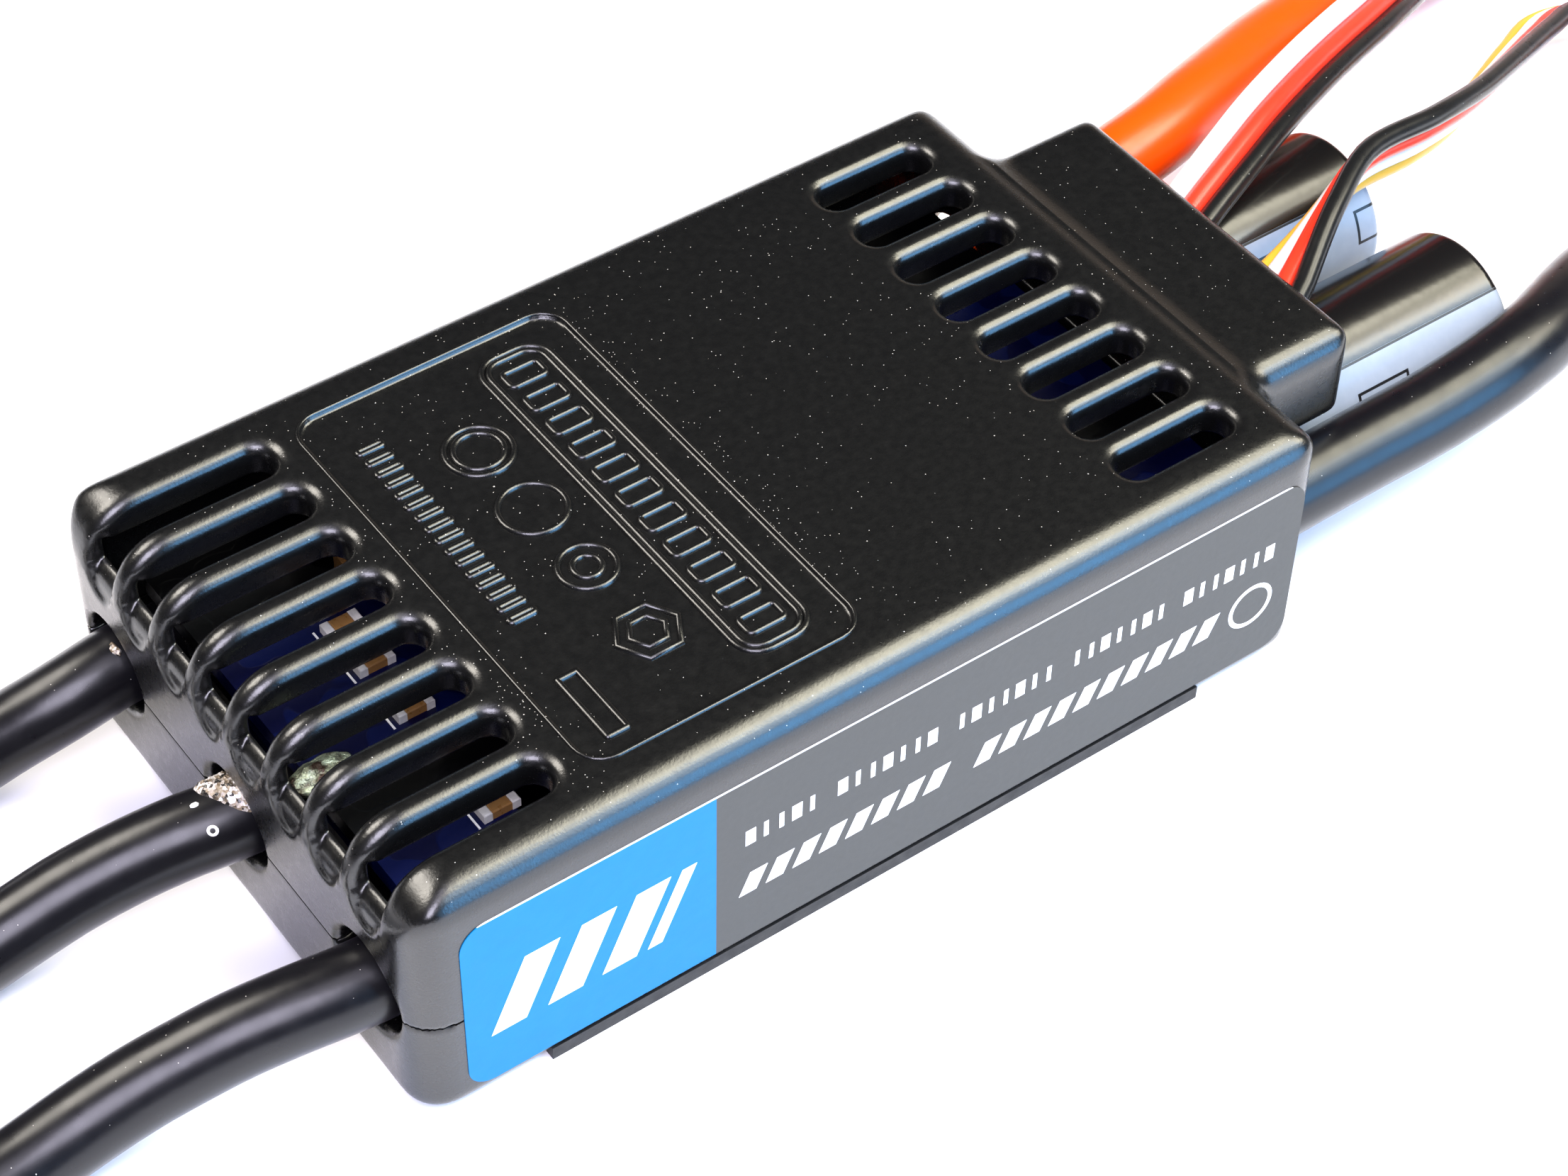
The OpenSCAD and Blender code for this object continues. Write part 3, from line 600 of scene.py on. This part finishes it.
MARGIN = 1
low = np.array([X0, -HALF_W, BASE]) - MARGIN
high = np.array([HOOD_X, HALF_W, TOP]) + MARGIN
axes = [np.arange(a, b, STEP, dtype=np.float32) for a, b in zip(low, high)]
X, Y, Z = np.meshgrid(*axes, indexing="ij", sparse=True)

# Edge radii: upright corners, roof at the motor end, at the other end, at the sides, and base
PLAN_R, END_R, CAP_END_R, SIDE_R, BASE_R = 2.3, 3.5, 2.5, 1.75, 0.5
# Boxes this tall run far out past the case, so that only one end of them counts
TALL = 40.0
EDGE_BLUR, HOOD_BLUR = 0.35, 0.3
ends = np.where(
    X < XM,
    round_box(X - XM, Z - (TOP - TALL), LENGTH / 2, TALL, END_R),
    round_box(X - XM, Z - (TOP - TALL), LENGTH / 2, TALL, CAP_END_R),
)
sides = round_box(Y, Z - (TOP - TALL), HALF_W, TALL, SIDE_R)
plan = round_box(X - XM, Y, LENGTH / 2, HALF_W, PLAN_R)
foot = np.maximum(
    round_box(X - XM, Z - (BASE + TALL), LENGTH / 2, TALL, BASE_R),
    round_box(Y, Z - (BASE + TALL), HALF_W, TALL, BASE_R),
)
block = np.maximum(np.maximum(plan, np.maximum(ends, sides)), foot)
block = blur(block, EDGE_BLUR)

# Rows of vents, the same eight places at both ends
VENT_PITCH, VENT_COUNT = 3.86, 8
vent_ys = [(i - (VENT_COUNT - 1) / 2) * VENT_PITCH for i in range(VENT_COUNT)]
near = np.min([np.abs(Y - y) for y in vent_ys], axis=0)
VENT_TIP, VENT_R, VENT_FOOT = X0 + 11.0, 1.05, TOP - 2.9
roof_slot = np.where(
    X > VENT_TIP - VENT_R, np.hypot(near, X - VENT_TIP + VENT_R), near
) - VENT_R
motor_vents = np.maximum(roof_slot, VENT_FOOT - Z)
CAP_VENT_X, CAP_VENT_HALF_L, CAP_VENT_CORNER, CAP_VENT_DEPTH = X1 - 7.6, 3.75, 0.95, 3
cap_vents = round_box(X - CAP_VENT_X, near, CAP_VENT_HALF_L, VENT_R, CAP_VENT_CORNER)
cap_vents = np.maximum(cap_vents, TOP - CAP_VENT_DEPTH - Z)

# Below each vent's foot a round-ended pocket runs on, shallower towards its end
FOOT_END, FOOT_DEPTH, TOE_DEPTH = VENT_FOOT - 1.7, 1.1, 0.25
pocket = np.where(
    Z < FOOT_END + VENT_R, np.hypot(near, Z - FOOT_END - VENT_R), near
) - VENT_R
slope = np.clip((Z - FOOT_END) / (VENT_FOOT - FOOT_END), 0, 1)
feet = np.maximum(pocket, X - X0 - TOE_DEPTH - (FOOT_DEPTH - TOE_DEPTH) * slope**2)
feet = np.maximum(feet, Z - VENT_FOOT - 1)

# The roof is thicker between the vents
RIB_DEPTH, MOTOR_RIBS_TO, CAP_RIBS_FROM = 2.0, VENT_TIP + 0.6, X1 - 12.2
ribbed = (X < MOTOR_RIBS_TO) | (X > CAP_RIBS_FROM)
room = round_box(X - XM, Y, LENGTH / 2 - WALL, HALF_W - WALL, 1.0)
cavity = np.maximum(room, Z - np.where(ribbed, TOP - RIB_DEPTH, TOP - WALL))

# Openings round the leads, half in each shell
MOTOR_GAP_R, BATTERY_GAP_R, GAP_DEPTH = 2.95, 2.9, 3
motor_gaps = [
    np.maximum(np.hypot(Y - y, Z - PART_Z) - MOTOR_GAP_R, X - X0 - GAP_DEPTH)
    for y in MOTOR_Y
]
battery_gaps = [
    np.maximum(np.hypot(Y - y, Z - PART_Z) - BATTERY_GAP_R, X1 - GAP_DEPTH - X)
    for y in (-BATTERY_Y, BATTERY_Y)
]
lead_gap = np.min(motor_gaps + battery_gaps, axis=0)

# Hood over the capacitor leads
HOOD_IN, HOOD_W, HOOD_Z0, HOOD_Z1 = 3.0, 12.1, 9.2, TOP - 0.8
HOOD_PLAN_R, HOOD_END_R, HOOD_SIDE_R = 1.5, 1.2, 1.6
hood_l = HOOD_X - X1 + HOOD_IN
hood_x = HOOD_X - hood_l / 2
hood_z, hood_half_h = (HOOD_Z0 + HOOD_Z1) / 2, (HOOD_Z1 - HOOD_Z0) / 2
hood = np.maximum(
    round_box(X - hood_x, Y, hood_l / 2, HOOD_W, HOOD_PLAN_R),
    np.maximum(
        round_box(X - hood_x, Z - hood_z, hood_l / 2, hood_half_h, HOOD_END_R),
        round_box(Y, Z - hood_z, HOOD_W, hood_half_h, HOOD_SIDE_R),
    ),
)
hood = np.maximum(blur(hood, HOOD_BLUR), X1 - WALL - X)
hollow = np.maximum(
    np.maximum(X - HOOD_X + WALL, np.abs(Y) - HOOD_W + WALL), Z - HOOD_Z1 + WALL
)

# The hood is open to the case through a window, over the capacitors, and where the cables leave
WINDOW_HALF_W, ARCH_R = 8.6, 5.3
SLOT_Y, SLOT_HALF_W, SLOT_Z0, SLOT_Z1 = -1.3, 8.7, 11.1, 14.1
window = np.maximum(np.abs(Y) - WINDOW_HALF_W, np.maximum(HOOD_Z0 + 1 - Z, Z - HOOD_Z1 + 1.5))
cap_arches = np.min([np.hypot(Y - y, Z - CAP_Z) - ARCH_R for y in (-CAP_Y, CAP_Y)], axis=0)
cable_slot = np.maximum(np.abs(Y - SLOT_Y) - SLOT_HALF_W, np.maximum(SLOT_Z0 - Z, Z - SLOT_Z1))

# How far the edge of each cut is rounded, and the fillet where the hood meets the case
FOOT_EDGE, MOTOR_VENT_EDGE, CAP_VENT_EDGE, CAVITY_EDGE = 0.5, 1.0, 0.9, 0.2
HOOD_EDGE, GAP_EDGE, PANEL_EDGE, FLOOR_EDGE, HOOD_FILLET = 0.4, 0.5, 0.16, 0.3, 1.3
shell = soft_max(block, -feet, FOOT_EDGE)
shell = soft_max(shell, -motor_vents, MOTOR_VENT_EDGE)
shell = soft_max(shell, -cap_vents, CAP_VENT_EDGE)
shell = soft_max(shell, -cavity, CAVITY_EDGE)
hooded = np.maximum(hood, -hollow)
hooded = soft_max(hooded, -np.maximum(cap_arches, X1 - 1 - X), HOOD_EDGE)
hooded = soft_max(hooded, -np.maximum(cable_slot, X1 - X), HOOD_EDGE)
outside = np.maximum(hooded, X1 - 0.4 - X)
shell = soft_min(shell, outside, HOOD_FILLET)
shell = np.maximum(shell, -np.maximum(window, np.maximum(X1 - WALL - 1 - X, X - HOOD_X + 2)))
shell = soft_max(shell, -lead_gap, GAP_EDGE)

# A panel sunk into the roof, and half of the joint line above the lower shell
PANEL_X, PANEL_HALF_L, PANEL_HALF_W, PANEL_R, PANEL_DEPTH = X0 + 21.2, 8.4, 14.7, 1.6, 0.25
JOINT_HALF = 0.04
panel = round_box(X - PANEL_X, Y, PANEL_HALF_L, PANEL_HALF_W, PANEL_R)
panel = np.maximum(panel, TOP - PANEL_DEPTH - Z)
upper = soft_max(shell, -panel, PANEL_EDGE)
upper = np.maximum(upper, PART_Z + JOINT_HALF - Z)
skin("case_top", upper.astype(np.float32), low, BLACK, "upper_shell", "case_plastic")

# The heat sink fills an opening in the lower shell's floor and sits in a shallow ledge below it
SINK_RIM, FLOOR_HALF_W, LEDGE_TOP, SINK_PLAY = 1.45, 14.05, 0.92, 0.05
floor_cut = round_box(X - XM, Y, SINK_HALF_L - SINK_RIM, FLOOR_HALF_W, 1.0)
floor_cut = np.maximum(floor_cut, Z - BASE - 4)
ledge = np.maximum(np.abs(X - XM) - SINK_HALF_L - SINK_PLAY, Z - LEDGE_TOP)
lower = soft_max(block, -np.maximum(room, BASE + WALL - Z), FLOOR_EDGE)
lower = np.maximum(lower, -np.minimum(floor_cut, ledge))
lower = soft_max(lower, -lead_gap, GAP_EDGE)
NOTCH_HALF_W, NOTCH_FOOT = 3.5, 4.7
for y in (-CAP_Y, CAP_Y):
    behind_cap = np.maximum(NOTCH_FOOT - Z, X1 - WALL - 1 - X)
    lower = np.maximum(lower, -np.maximum(np.abs(Y - y) - NOTCH_HALF_W, behind_cap))
lower = np.maximum(lower, Z - PART_Z + JOINT_HALF)
skin("case_bottom", lower.astype(np.float32), low, BLACK, "lower_shell", "case_plastic")


# ---------------------------------------------------------------- label
def outline(half_l, half_h, r, steps=10):
    """Corner-rounded rectangle about the origin, counter-clockwise."""
    points = []
    for corner, (su, sv) in enumerate(((1, 1), (-1, 1), (-1, -1), (1, -1))):
        for a in np.radians(np.linspace(0, 90, steps) + 90 * corner):
            points.append(
                (su * (half_l - r) + r * math.cos(a), sv * (half_h - r) + r * math.sin(a))
            )
    return points


def prism(points, thick, to_xyz):
    """A flat outline made solid: its points given by to_xyz at 0 and at thick."""
    n = len(points)
    solid = [to_xyz(u, v, 0) for u, v in points] + [to_xyz(u, v, thick) for u, v in points]
    faces = [tuple(range(n - 1, -1, -1)), tuple(range(n, 2 * n))]
    faces += [(i, (i + 1) % n, n + (i + 1) % n, n + i) for i in range(n)]
    return solid, faces


def marks(name, outlines, height, to_xyz, material):
    """Flat outlines raised to a height, as one piece."""
    points, faces = [], []
    for shape in outlines:
        solid, sides = prism(shape, height, to_xyz)
        faces += [tuple(i + len(points) for i in f) for f in sides]
        points += solid
    return piece(name, points, faces, [material], smooth=30)


def bar(x, z, length, height, lean=0.0):
    """A slanted bar about its middle, counter-clockwise."""
    shift = lean * height / 2
    return [
        (x - length / 2 - shift, z - height / 2), (x + length / 2 - shift, z - height / 2),
        (x + length / 2 + shift, z + height / 2), (x - length / 2 + shift, z + height / 2),
    ]


def ring(x, z, outer, inner, parts=36):
    """A ring as short quadrilaterals."""
    turn = np.linspace(0, 2 * math.pi, parts + 1)
    return [
        [(x + r * math.cos(a), z + r * math.sin(a)) for r, a in
         ((inner, a0), (outer, a0), (outer, a1), (inner, a1))]
        for a0, a1 in zip(turn, turn[1:])
    ]


label_x = (label_low[0] + label_high[0]) / 2
label_z = (label_low[2] + label_high[2]) / 2
label_half = ((label_high[0] - label_low[0]) / 2, (label_high[2] - label_low[2]) / 2)
LABEL_R, LABEL_THICK, LABEL_SUNK = 1.6, 0.07, 0.02
BLUE_TO_X, PALE_EDGE = -22.95, 0.09


def on_side(u, v, w):
    """A point of the label's plane: u along the case, v up, w outwards."""
    return (label_x + u, -HALF_W + LABEL_SUNK - w, label_z + v)


def label_film(name):
    """Blue at the motor end and dark grey along the rest, under a clear film."""
    s = Shader(name, (0.05, 0.05, 0.055), 0.36, Specular_IOR_Level=0.12)
    x, _, z = s.axes()
    grey = s.mix(s.noise(2600, 3), (0.052, 0.050, 0.046), (0.062, 0.060, 0.055))
    blue = s.mix(s.noise(900, 3), (0.0, 0.13, 0.31), (0.0, 0.145, 0.34))
    body = s.mix(s.math("LESS_THAN", x, BLUE_TO_X * MM), grey, blue)
    edge = s.math("GREATER_THAN", z, (label_high[2] - PALE_EDGE) * MM)
    s.link(s.mix(edge, body, (0.6, 0.6, 0.62)), "Base Color")
    s.bump(s.noise(1200, 3), 0.00002, 0.5)
    return s.material


label = piece(
    "label_film", *prism(outline(*label_half, LABEL_R), LABEL_THICK, on_side),
    [label_film("label_film")], smooth=40,
)
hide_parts("side_label")

# Plain bars and a ring stand where the label is printed
PRINT = flat_color("label_print", (0.85, 0.85, 0.85), 0.4, scale=1500, vary=0.05)
LEAN = 0.45
PRINT_PROUD, PRINT_THICK = 0.04, 0.02
large_bars = ((-34.6, 2.1), (-31.2, 2.1), (-27.9, 2.1), (-25.7, 0.9))
prints = [bar(x, 7.3, width, 4.9, LEAN) for x, width in large_bars]
prints += [bar(-20.6 + 1.72 * i, 5.75, 1.12, 1.6, LEAN) for i in range(19) if i != 8]
for i in range(37):
    if i % 8 != 5:
        prints.append(bar(-20.8 + 0.98 * i, 9.45, 0.3 + 0.35 * (i % 3 == 0), 1.15))
prints += ring(13.6, 5.7, 1.6, 1.3)


def on_label(u, v, w):
    """A point of the print: u along X, v up, w outwards."""
    return (u, -HALF_W - PRINT_PROUD - w, v)


label_print = marks("label_print", prints, PRINT_THICK, on_label, PRINT)


# ---------------------------------------------------------------- raised marks on the roof
def ridge(loops, base, radius):
    """Half-round ridges along closed loops of (x, y) points, on a level face."""
    points, faces = [], []
    section, sunk = np.radians(np.linspace(0, 180, 6)), 0.02
    for loop in loops:
        p = np.array(loop, float)
        along = np.roll(p, -1, 0) - np.roll(p, 1, 0)
        along /= np.linalg.norm(along, axis=1)[:, None]
        out = np.column_stack([along[:, 1], -along[:, 0]])
        first, n = len(points), len(p)
        for at, o in zip(p, out):
            for a in section:
                x, y = at + o * radius * math.cos(a)
                points.append((x, y, base - sunk + radius * math.sin(a)))
        m = len(section)
        faces += [
            (first + i * m + k, first + (i + 1) % n * m + k,
             first + (i + 1) % n * m + (k + 1) % m, first + i * m + (k + 1) % m)
            for i in range(n) for k in range(m)
        ]
    return points, faces


def loop_at(x, y, half_l, half_w, r):
    """A corner-rounded rectangle on the roof, as a closed loop."""
    return [(x + u, y + v) for u, v in outline(half_l, half_w, r, 7)]


def circle_at(x, y, r, count=32):
    """A circle on the roof, or a polygon with count corners, as a closed loop."""
    turn = np.arange(count) * 2 * math.pi / count
    return [(x + r * math.cos(a), y + r * math.sin(a)) for a in turn]


# A framed strip of cells, a row of rings, a row of short bars, and one small frame
STRIP_X, ROW_X, FOOT_ROW_X = X0 + 25.6, X0 + 20.3, X0 + 15.6
MARK_R, RIM_R = 0.21, 0.13
loops = [loop_at(STRIP_X, 0, 2.2, 13.2, 1.5), loop_at(STRIP_X, 0, 1.8, 12.8, 1.1)]
loops += [loop_at(STRIP_X, y, 1.15, 0.62, 0.3) for y in np.linspace(-11.2, 11.2, 11)]
loops += [circle_at(ROW_X, 7.5, 1.9), circle_at(ROW_X, 7.5, 1.4), circle_at(ROW_X, 2.2, 1.9)]
loops += [circle_at(ROW_X, -3.0, 1.6), circle_at(ROW_X, -3.0, 0.8)]
loops += [circle_at(ROW_X, -8.6, 1.9, 6), circle_at(ROW_X, -8.6, 1.1, 6)]
loops += [loop_at(FOOT_ROW_X, y, 0.75, 0.16, 0.15) for y in np.linspace(-4, 11, 16)]
loops += [loop_at(X0 + 15.2, -11.1, 0.6, 2.3, 0.05)]
panel_marks = piece("panel_marks", *ridge(loops, TOP - PANEL_DEPTH, MARK_R), [BLACK], smooth=50)
RIM_OUT = 0.15
rim = [loop_at(PANEL_X, 0, PANEL_HALF_L + RIM_OUT, PANEL_HALF_W + RIM_OUT, PANEL_R + 0.1)]
panel_rim = piece("panel_rim", *ridge(rim, TOP, RIM_R), [BLACK], smooth=50)


# ---------------------------------------------------------------- sealant
def lump(name, centre, size, seed, material):
    """A rough bead: a sphere pushed in and out by smooth waves."""
    rng = np.random.default_rng(seed)
    rows, cols = 20, 32
    points, faces = [], []
    count, pace, depth = 14, 4.4, 0.025
    waves = rng.normal(size=(count, 3)) * pace
    phase = rng.uniform(0, 6.28, count)
    for i in range(rows + 1):
        for j in range(cols):
            a, b = math.pi * i / rows, 2 * math.pi * j / cols
            d = np.array((math.sin(a) * math.cos(b), math.sin(a) * math.sin(b), math.cos(a)))
            swell = 1 + depth * float(np.sin(waves @ d + phase).sum())
            points.append(np.array(centre) + d * np.array(size) * swell)
    for i in range(rows):
        for j in range(cols):
            k = (j + 1) % cols
            faces.append((i * cols + j, (i + 1) * cols + j, (i + 1) * cols + k, i * cols + k))
    return piece(name, points, faces, [material], smooth=70)


def speckled(name):
    """Grains of cream, brown and near black, under a thin gloss."""
    s = Shader(name, (0.45, 0.43, 0.4), 0.35, Coat_Weight=0.4, Coat_Roughness=0.2)
    grains = s.cells(5200, output="Color")
    value = s.node("ShaderNodeSeparateColor", {"Color": grains}).outputs[0]
    ramp = s.node("ShaderNodeValToRGB", {"Fac": value})
    dark, cream = ramp.color_ramp.elements
    dark.position = 0.14
    dark.color = (0.010, 0.008, 0.006, 1)
    cream.color = (0.85, 0.82, 0.78, 1)
    brown = ramp.color_ramp.elements.new(0.45)
    brown.color = (0.26, 0.20, 0.13, 1)
    s.link(ramp.outputs[0], "Base Color")
    s.bump(s.cells(5200), 0.00012, 0.8)
    return s.material


SPECKLED = speckled("sealant_speckled")
exit_path = smooth_path(MOTOR_ROUTES[1], 0.5)


def on_lead(s, angle, height):
    """A point on the middle lead: s out from the case, the angle from its top towards +Y."""
    y, z = (np.interp(X0 - s, exit_path[::-1, 0], exit_path[::-1, k]) for k in (1, 2))
    r = MOTOR_D / 2 + height
    return X0 - s, y + r * math.sin(angle), z + r * math.cos(angle)


def patch(name, reach, top_angle, tip_angle, low_angle, thick, material, count=26):
    """A thin rough patch on the lead, widest at the case and narrowing to a tip.

    Angles in degrees are from the lead's top: the patch's upper and lower edges at the case,
    and its tip, which lies at reach from the case.
    """
    rng = np.random.default_rng(4)
    rough = rng.normal(size=(count + 1, count + 1)) * 0.035
    tip_half, start, sunk, underside = 8, -0.4, -0.06, -0.2
    grid, under = [], []
    for i in range(count + 1):
        for j in range(count + 1):
            u, v = i / count, j / count
            low = low_angle + (tip_angle - tip_half - low_angle) * u**1.6
            top = top_angle + (tip_angle + tip_half - top_angle) * u**2.2
            angle = math.radians(low + (top - low) * v)
            rim = min(1 - u, v * (1 - 0.6 * u), 1 - v, 0.25) / 0.25
            s = start + (reach - start) * u
            height = sunk + (thick + rough[i, j]) * math.sqrt(rim)
            grid.append(on_lead(s, angle, height))
            under.append(on_lead(s, angle, underside))
    n = count + 1
    cells = [(i * n + j, i * n + j + 1, (i + 1) * n + j + 1, (i + 1) * n + j)
             for i in range(count) for j in range(count)]
    rim = [i * n for i in range(n)] + [count * n + j for j in range(1, n)]
    rim += [i * n + count for i in range(count - 1, -1, -1)] + list(range(count - 1, 0, -1))
    faces = [f[::-1] for f in cells] + [tuple(k + n * n for k in f) for f in cells]
    faces += [(a, b, b + n * n, a + n * n) for a, b in zip(rim, rim[1:] + rim[:1])]
    return piece(name, grid + under, faces, [material], smooth=60)


def droplet_ring(name, s, angle, big, small, material):
    """A small ring of dried sealant on the lead."""
    rows, cols = 24, 8
    points = []
    for a in np.arange(rows) * 2 * math.pi / rows:
        for b in np.arange(cols) * 2 * math.pi / cols:
            r = big + small * math.cos(b)
            turn = math.radians(angle) + r * math.sin(a) / (MOTOR_D / 2)
            points.append(on_lead(s + r * math.cos(a), turn, 0.05 + small * math.sin(b)))
    faces = [
        (i * cols + j, i * cols + (j + 1) % cols,
         (i + 1) % rows * cols + (j + 1) % cols, (i + 1) % rows * cols + j)
        for i in range(rows) for j in range(cols)
    ]
    return piece(name, points, faces, [material], smooth=80)


bead = patch("sealant_middle", 1.45, 56, 22, -44, 0.34, SPECKLED)
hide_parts("exit_sealant")
WHITE = flat_color("sealant_white", (0.8, 0.8, 0.8), 0.5, scale=3000, vary=0.1)
for made in (
    lump("sealant_far", (X0 - 0.1, 12.4, 9.15), (0.25, 0.55, 0.24), 5, SPECKLED),
    lump("sealant_drop", on_lead(1.95, math.radians(-3), 0), (0.26, 0.17, 0.07), 6, WHITE),
    droplet_ring("sealant_ring", 1.85, -46, 0.22, 0.09, WHITE),
):
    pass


# ---------------------------------------------------------------- small parts on the board
def boxes(name, blocks, materials, node):
    """Little bevelled boxes: centre, size and material index of each."""
    points, faces, indices = [], [], []
    for centre, size, index in blocks:
        c, half = np.array(centre, float), np.array(size, float) / 2
        edge = min(half) * 0.25
        first = len(points)
        for level, inset in ((-half[2], 0), (half[2] - edge, 0), (half[2], edge)):
            for a, b in ((-1, -1), (1, -1), (1, 1), (-1, 1)):
                points.append(c + (a * (half[0] - inset), b * (half[1] - inset), level))
        quads = [(0, 3, 2, 1), (8, 9, 10, 11)]
        for at in (0, 4):
            for k in range(4):
                after = (k + 1) % 4
                quads.append((at + k, at + after, at + 4 + after, at + 4 + k))
        faces += [tuple(first + i for i in q) for q in quads]
        indices += [index] * len(quads)
    made = piece(name, points, faces, materials, indices, smooth=20)
    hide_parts(node)


resistors_low, resistors_high = box_mm("smd_resistors")
middle_x, _, middle_z = (resistors_low + resistors_high) / 2
length, _, thick = resistors_high - resistors_low
END_CAP, RESISTOR_W = 0.5, 1.25
body_size = (length - 2 * END_CAP, RESISTOR_W * 0.96, thick * 0.94)
line_size = (0.12, 1.5, 0.04)
blocks = []
for y in (-10.2, -2.0, 1.9, 4.8):
    blocks.append(((middle_x, y, middle_z), body_size, 0))
    for side in (-1, 1):
        x = middle_x + side * (length - END_CAP) / 2
        blocks.append(((x, y, middle_z), (END_CAP, RESISTOR_W, thick), 1))
    line_at = (resistors_low[0] - 0.35, y, resistors_low[2] + line_size[2] / 2)
    blocks.append((line_at, line_size, 2))
boxes("resistors", blocks, [CERAMIC, PALE, PRINT], "smd_resistors")


def tinned_lump(name):
    """Solder and flux: pale green metal with brown patches."""
    s = Shader(name, (0.35, 0.42, 0.32), 0.3, 0.6)
    shade = s.step(s.noise(900, 5), 0.42, 0.58)
    s.link(s.mix(shade, (0.45, 0.52, 0.36), (0.05, 0.03, 0.02)), "Base Color")
    s.bump(s.noise(2500, 4), 0.0003, 1.0)
    return s.material


BLOB_AT, BLOB_SIZE = (X0 + 3.6, -3.3, 11.2), (1.9, 1.0, 0.8)
blob = lump("solder_blob", BLOB_AT, BLOB_SIZE, 8, tinned_lump("solder_blob"))


# ---------------------------------------------------------------- capacitors
# Angles round the sleeve are in degrees from its -Y side upwards
STRIPE, STRIPE_EDGES = (-38, 52), ((-37.9, -36.1), (50.1, 51.9))
# Plain outlines stand at one pitch along the stripe, one of them at OUTLINE_X
OUTLINE_X, OUTLINE_PITCH, OUTLINE_HALF_L = 30.6 * MM, 10.4 * MM, 2.0 * MM
OUTLINE_LINE, OUTLINE_LINE_ANGLE = 0.2 * MM, 2.2


def cap_film(name, y, mark_low, mark_high):
    """Glossy black film; a pale stripe on the -Y side has dark edges and plain outlines."""
    black = (0.004, 0.0035, 0.0035)
    s = Shader(name, black, 0.14)
    x, across, up = s.axes()
    dy = s.math("SUBTRACT", y * MM, across)
    dz = s.math("SUBTRACT", up, CAP_Z * MM)
    angle = s.math("MULTIPLY", s.math("ARCTAN2", dz, dy), 180 / math.pi)

    stripe = s.band(angle, *STRIPE)
    edge = s.math("MAXIMUM", *(s.band(angle, *limits) for limits in STRIPE_EDGES))
    along = s.math("PINGPONG", s.math("SUBTRACT", x, OUTLINE_X), OUTLINE_PITCH / 2)

    def block(inset, inset_angle):
        length = s.math("LESS_THAN", along, OUTLINE_HALF_L - inset)
        width = s.band(angle, mark_low + inset_angle, mark_high - inset_angle)
        return s.math("MULTIPLY", length, width)

    inside = block(0, 0)
    core = block(OUTLINE_LINE, OUTLINE_LINE_ANGLE)
    line = s.math("MAXIMUM", edge, s.math("SUBTRACT", inside, core))
    pale = s.mix(s.noise(1500, 3), (0.20, 0.235, 0.29), (0.24, 0.275, 0.33))
    body = s.mix(stripe, black, pale)
    s.link(s.mix(line, body, (0.004, 0.004, 0.005)), "Base Color")
    s.link(s.step(stripe, 0, 1, 0.2, 0.4), "Roughness")
    s.bump(s.noise(700, 3), 0.00004, 0.3)
    return s.material


for number, y, mark_angles in ((1, CAP_Y, (12, 38)), (2, -CAP_Y, (2, 30))):
    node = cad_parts[f"capacitor_sleeve_{number}"]
    node.data.materials.clear()
    node.data.materials.append(cap_film(f"cap_film_{number}", y, *mark_angles))


# ---------------------------------------------------------------- stage
def stage_floor():
    """A wide pale floor at the height where the leads lie."""
    s = Shader("floor_pale", (0.86, 0.855, 0.87), 0.6)
    s.link(s.mix(s.noise(3, 2), (0.85, 0.845, 0.865), (0.88, 0.875, 0.89)), "Base Color")
    mesh = bpy.data.meshes.new("floor")
    half = 3
    corners = [(-half, -half, 0), (half, -half, 0), (half, half, 0), (-half, half, 0)]
    mesh.from_pydata(corners, [], [(0, 1, 2, 3)])
    mesh.materials.append(s.material)
    made = bpy.data.objects.new("floor", mesh)
    bpy.context.scene.collection.objects.link(made)


def softbox(name, toward, distance, size, radiance):
    """An area light that faces the case from one direction, with its face's brightness."""
    direction = Vector(toward).normalized()
    data = bpy.data.lights.new(name, "AREA")
    data.shape = "RECTANGLE"
    data.size, data.size_y = size
    data.energy = 4 * size[0] * size[1] * max(radiance)
    data.color = [c / max(radiance) for c in radiance]
    made = bpy.data.objects.new(name, data)
    made.location = direction * distance
    made.rotation_euler = direction.to_track_quat("Z", "Y").to_euler()
    bpy.context.scene.collection.objects.link(made)


stage_floor()
LIGHT_DISTANCE = 0.6
for name, toward, size, radiance in (
    ("overhead", (0.40, -0.20, 0.89), (0.37, 0.22), (12.5, 11.9, 9.4)),
    ("overhead_right", (0.70, -0.27, 0.66), (0.22, 0.16), (13.0, 12.0, 9.5)),
    ("front_haze", (0.40, -0.56, 0.72), (0.36, 0.24), (4.6, 6.2, 8.0)),
    ("window", (0.41, -0.86, 0.30), (0.30, 0.30), (1.8, 4.8, 9.0)),
    ("overhead_left", (-0.05, -0.25, 0.97), (0.30, 0.30), (2.3, 2.2, 2.6)),
    ("left_box", (-0.45, -0.45, 0.75), (0.32, 0.32), (11.5, 11.0, 13.5)),
    ("rear_left", (-0.40, 0.54, 0.74), (0.27, 0.25), (13.0, 12.2, 11.0)),
    ("back_wall", (0.82, 0.57, 0.12), (0.38, 0.22), (0.34, 0.26, 0.2)),
):
    softbox(name, toward, LIGHT_DISTANCE, size, radiance)
world = bpy.data.worlds.new("studio")
world.use_nodes = True
sky = world.node_tree.nodes["Background"].inputs
sky["Color"].default_value = (0.9, 0.95, 1, 1)
sky["Strength"].default_value = 0.05
bpy.context.scene.world = world
bpy.context.scene.view_settings.view_transform = "Standard"
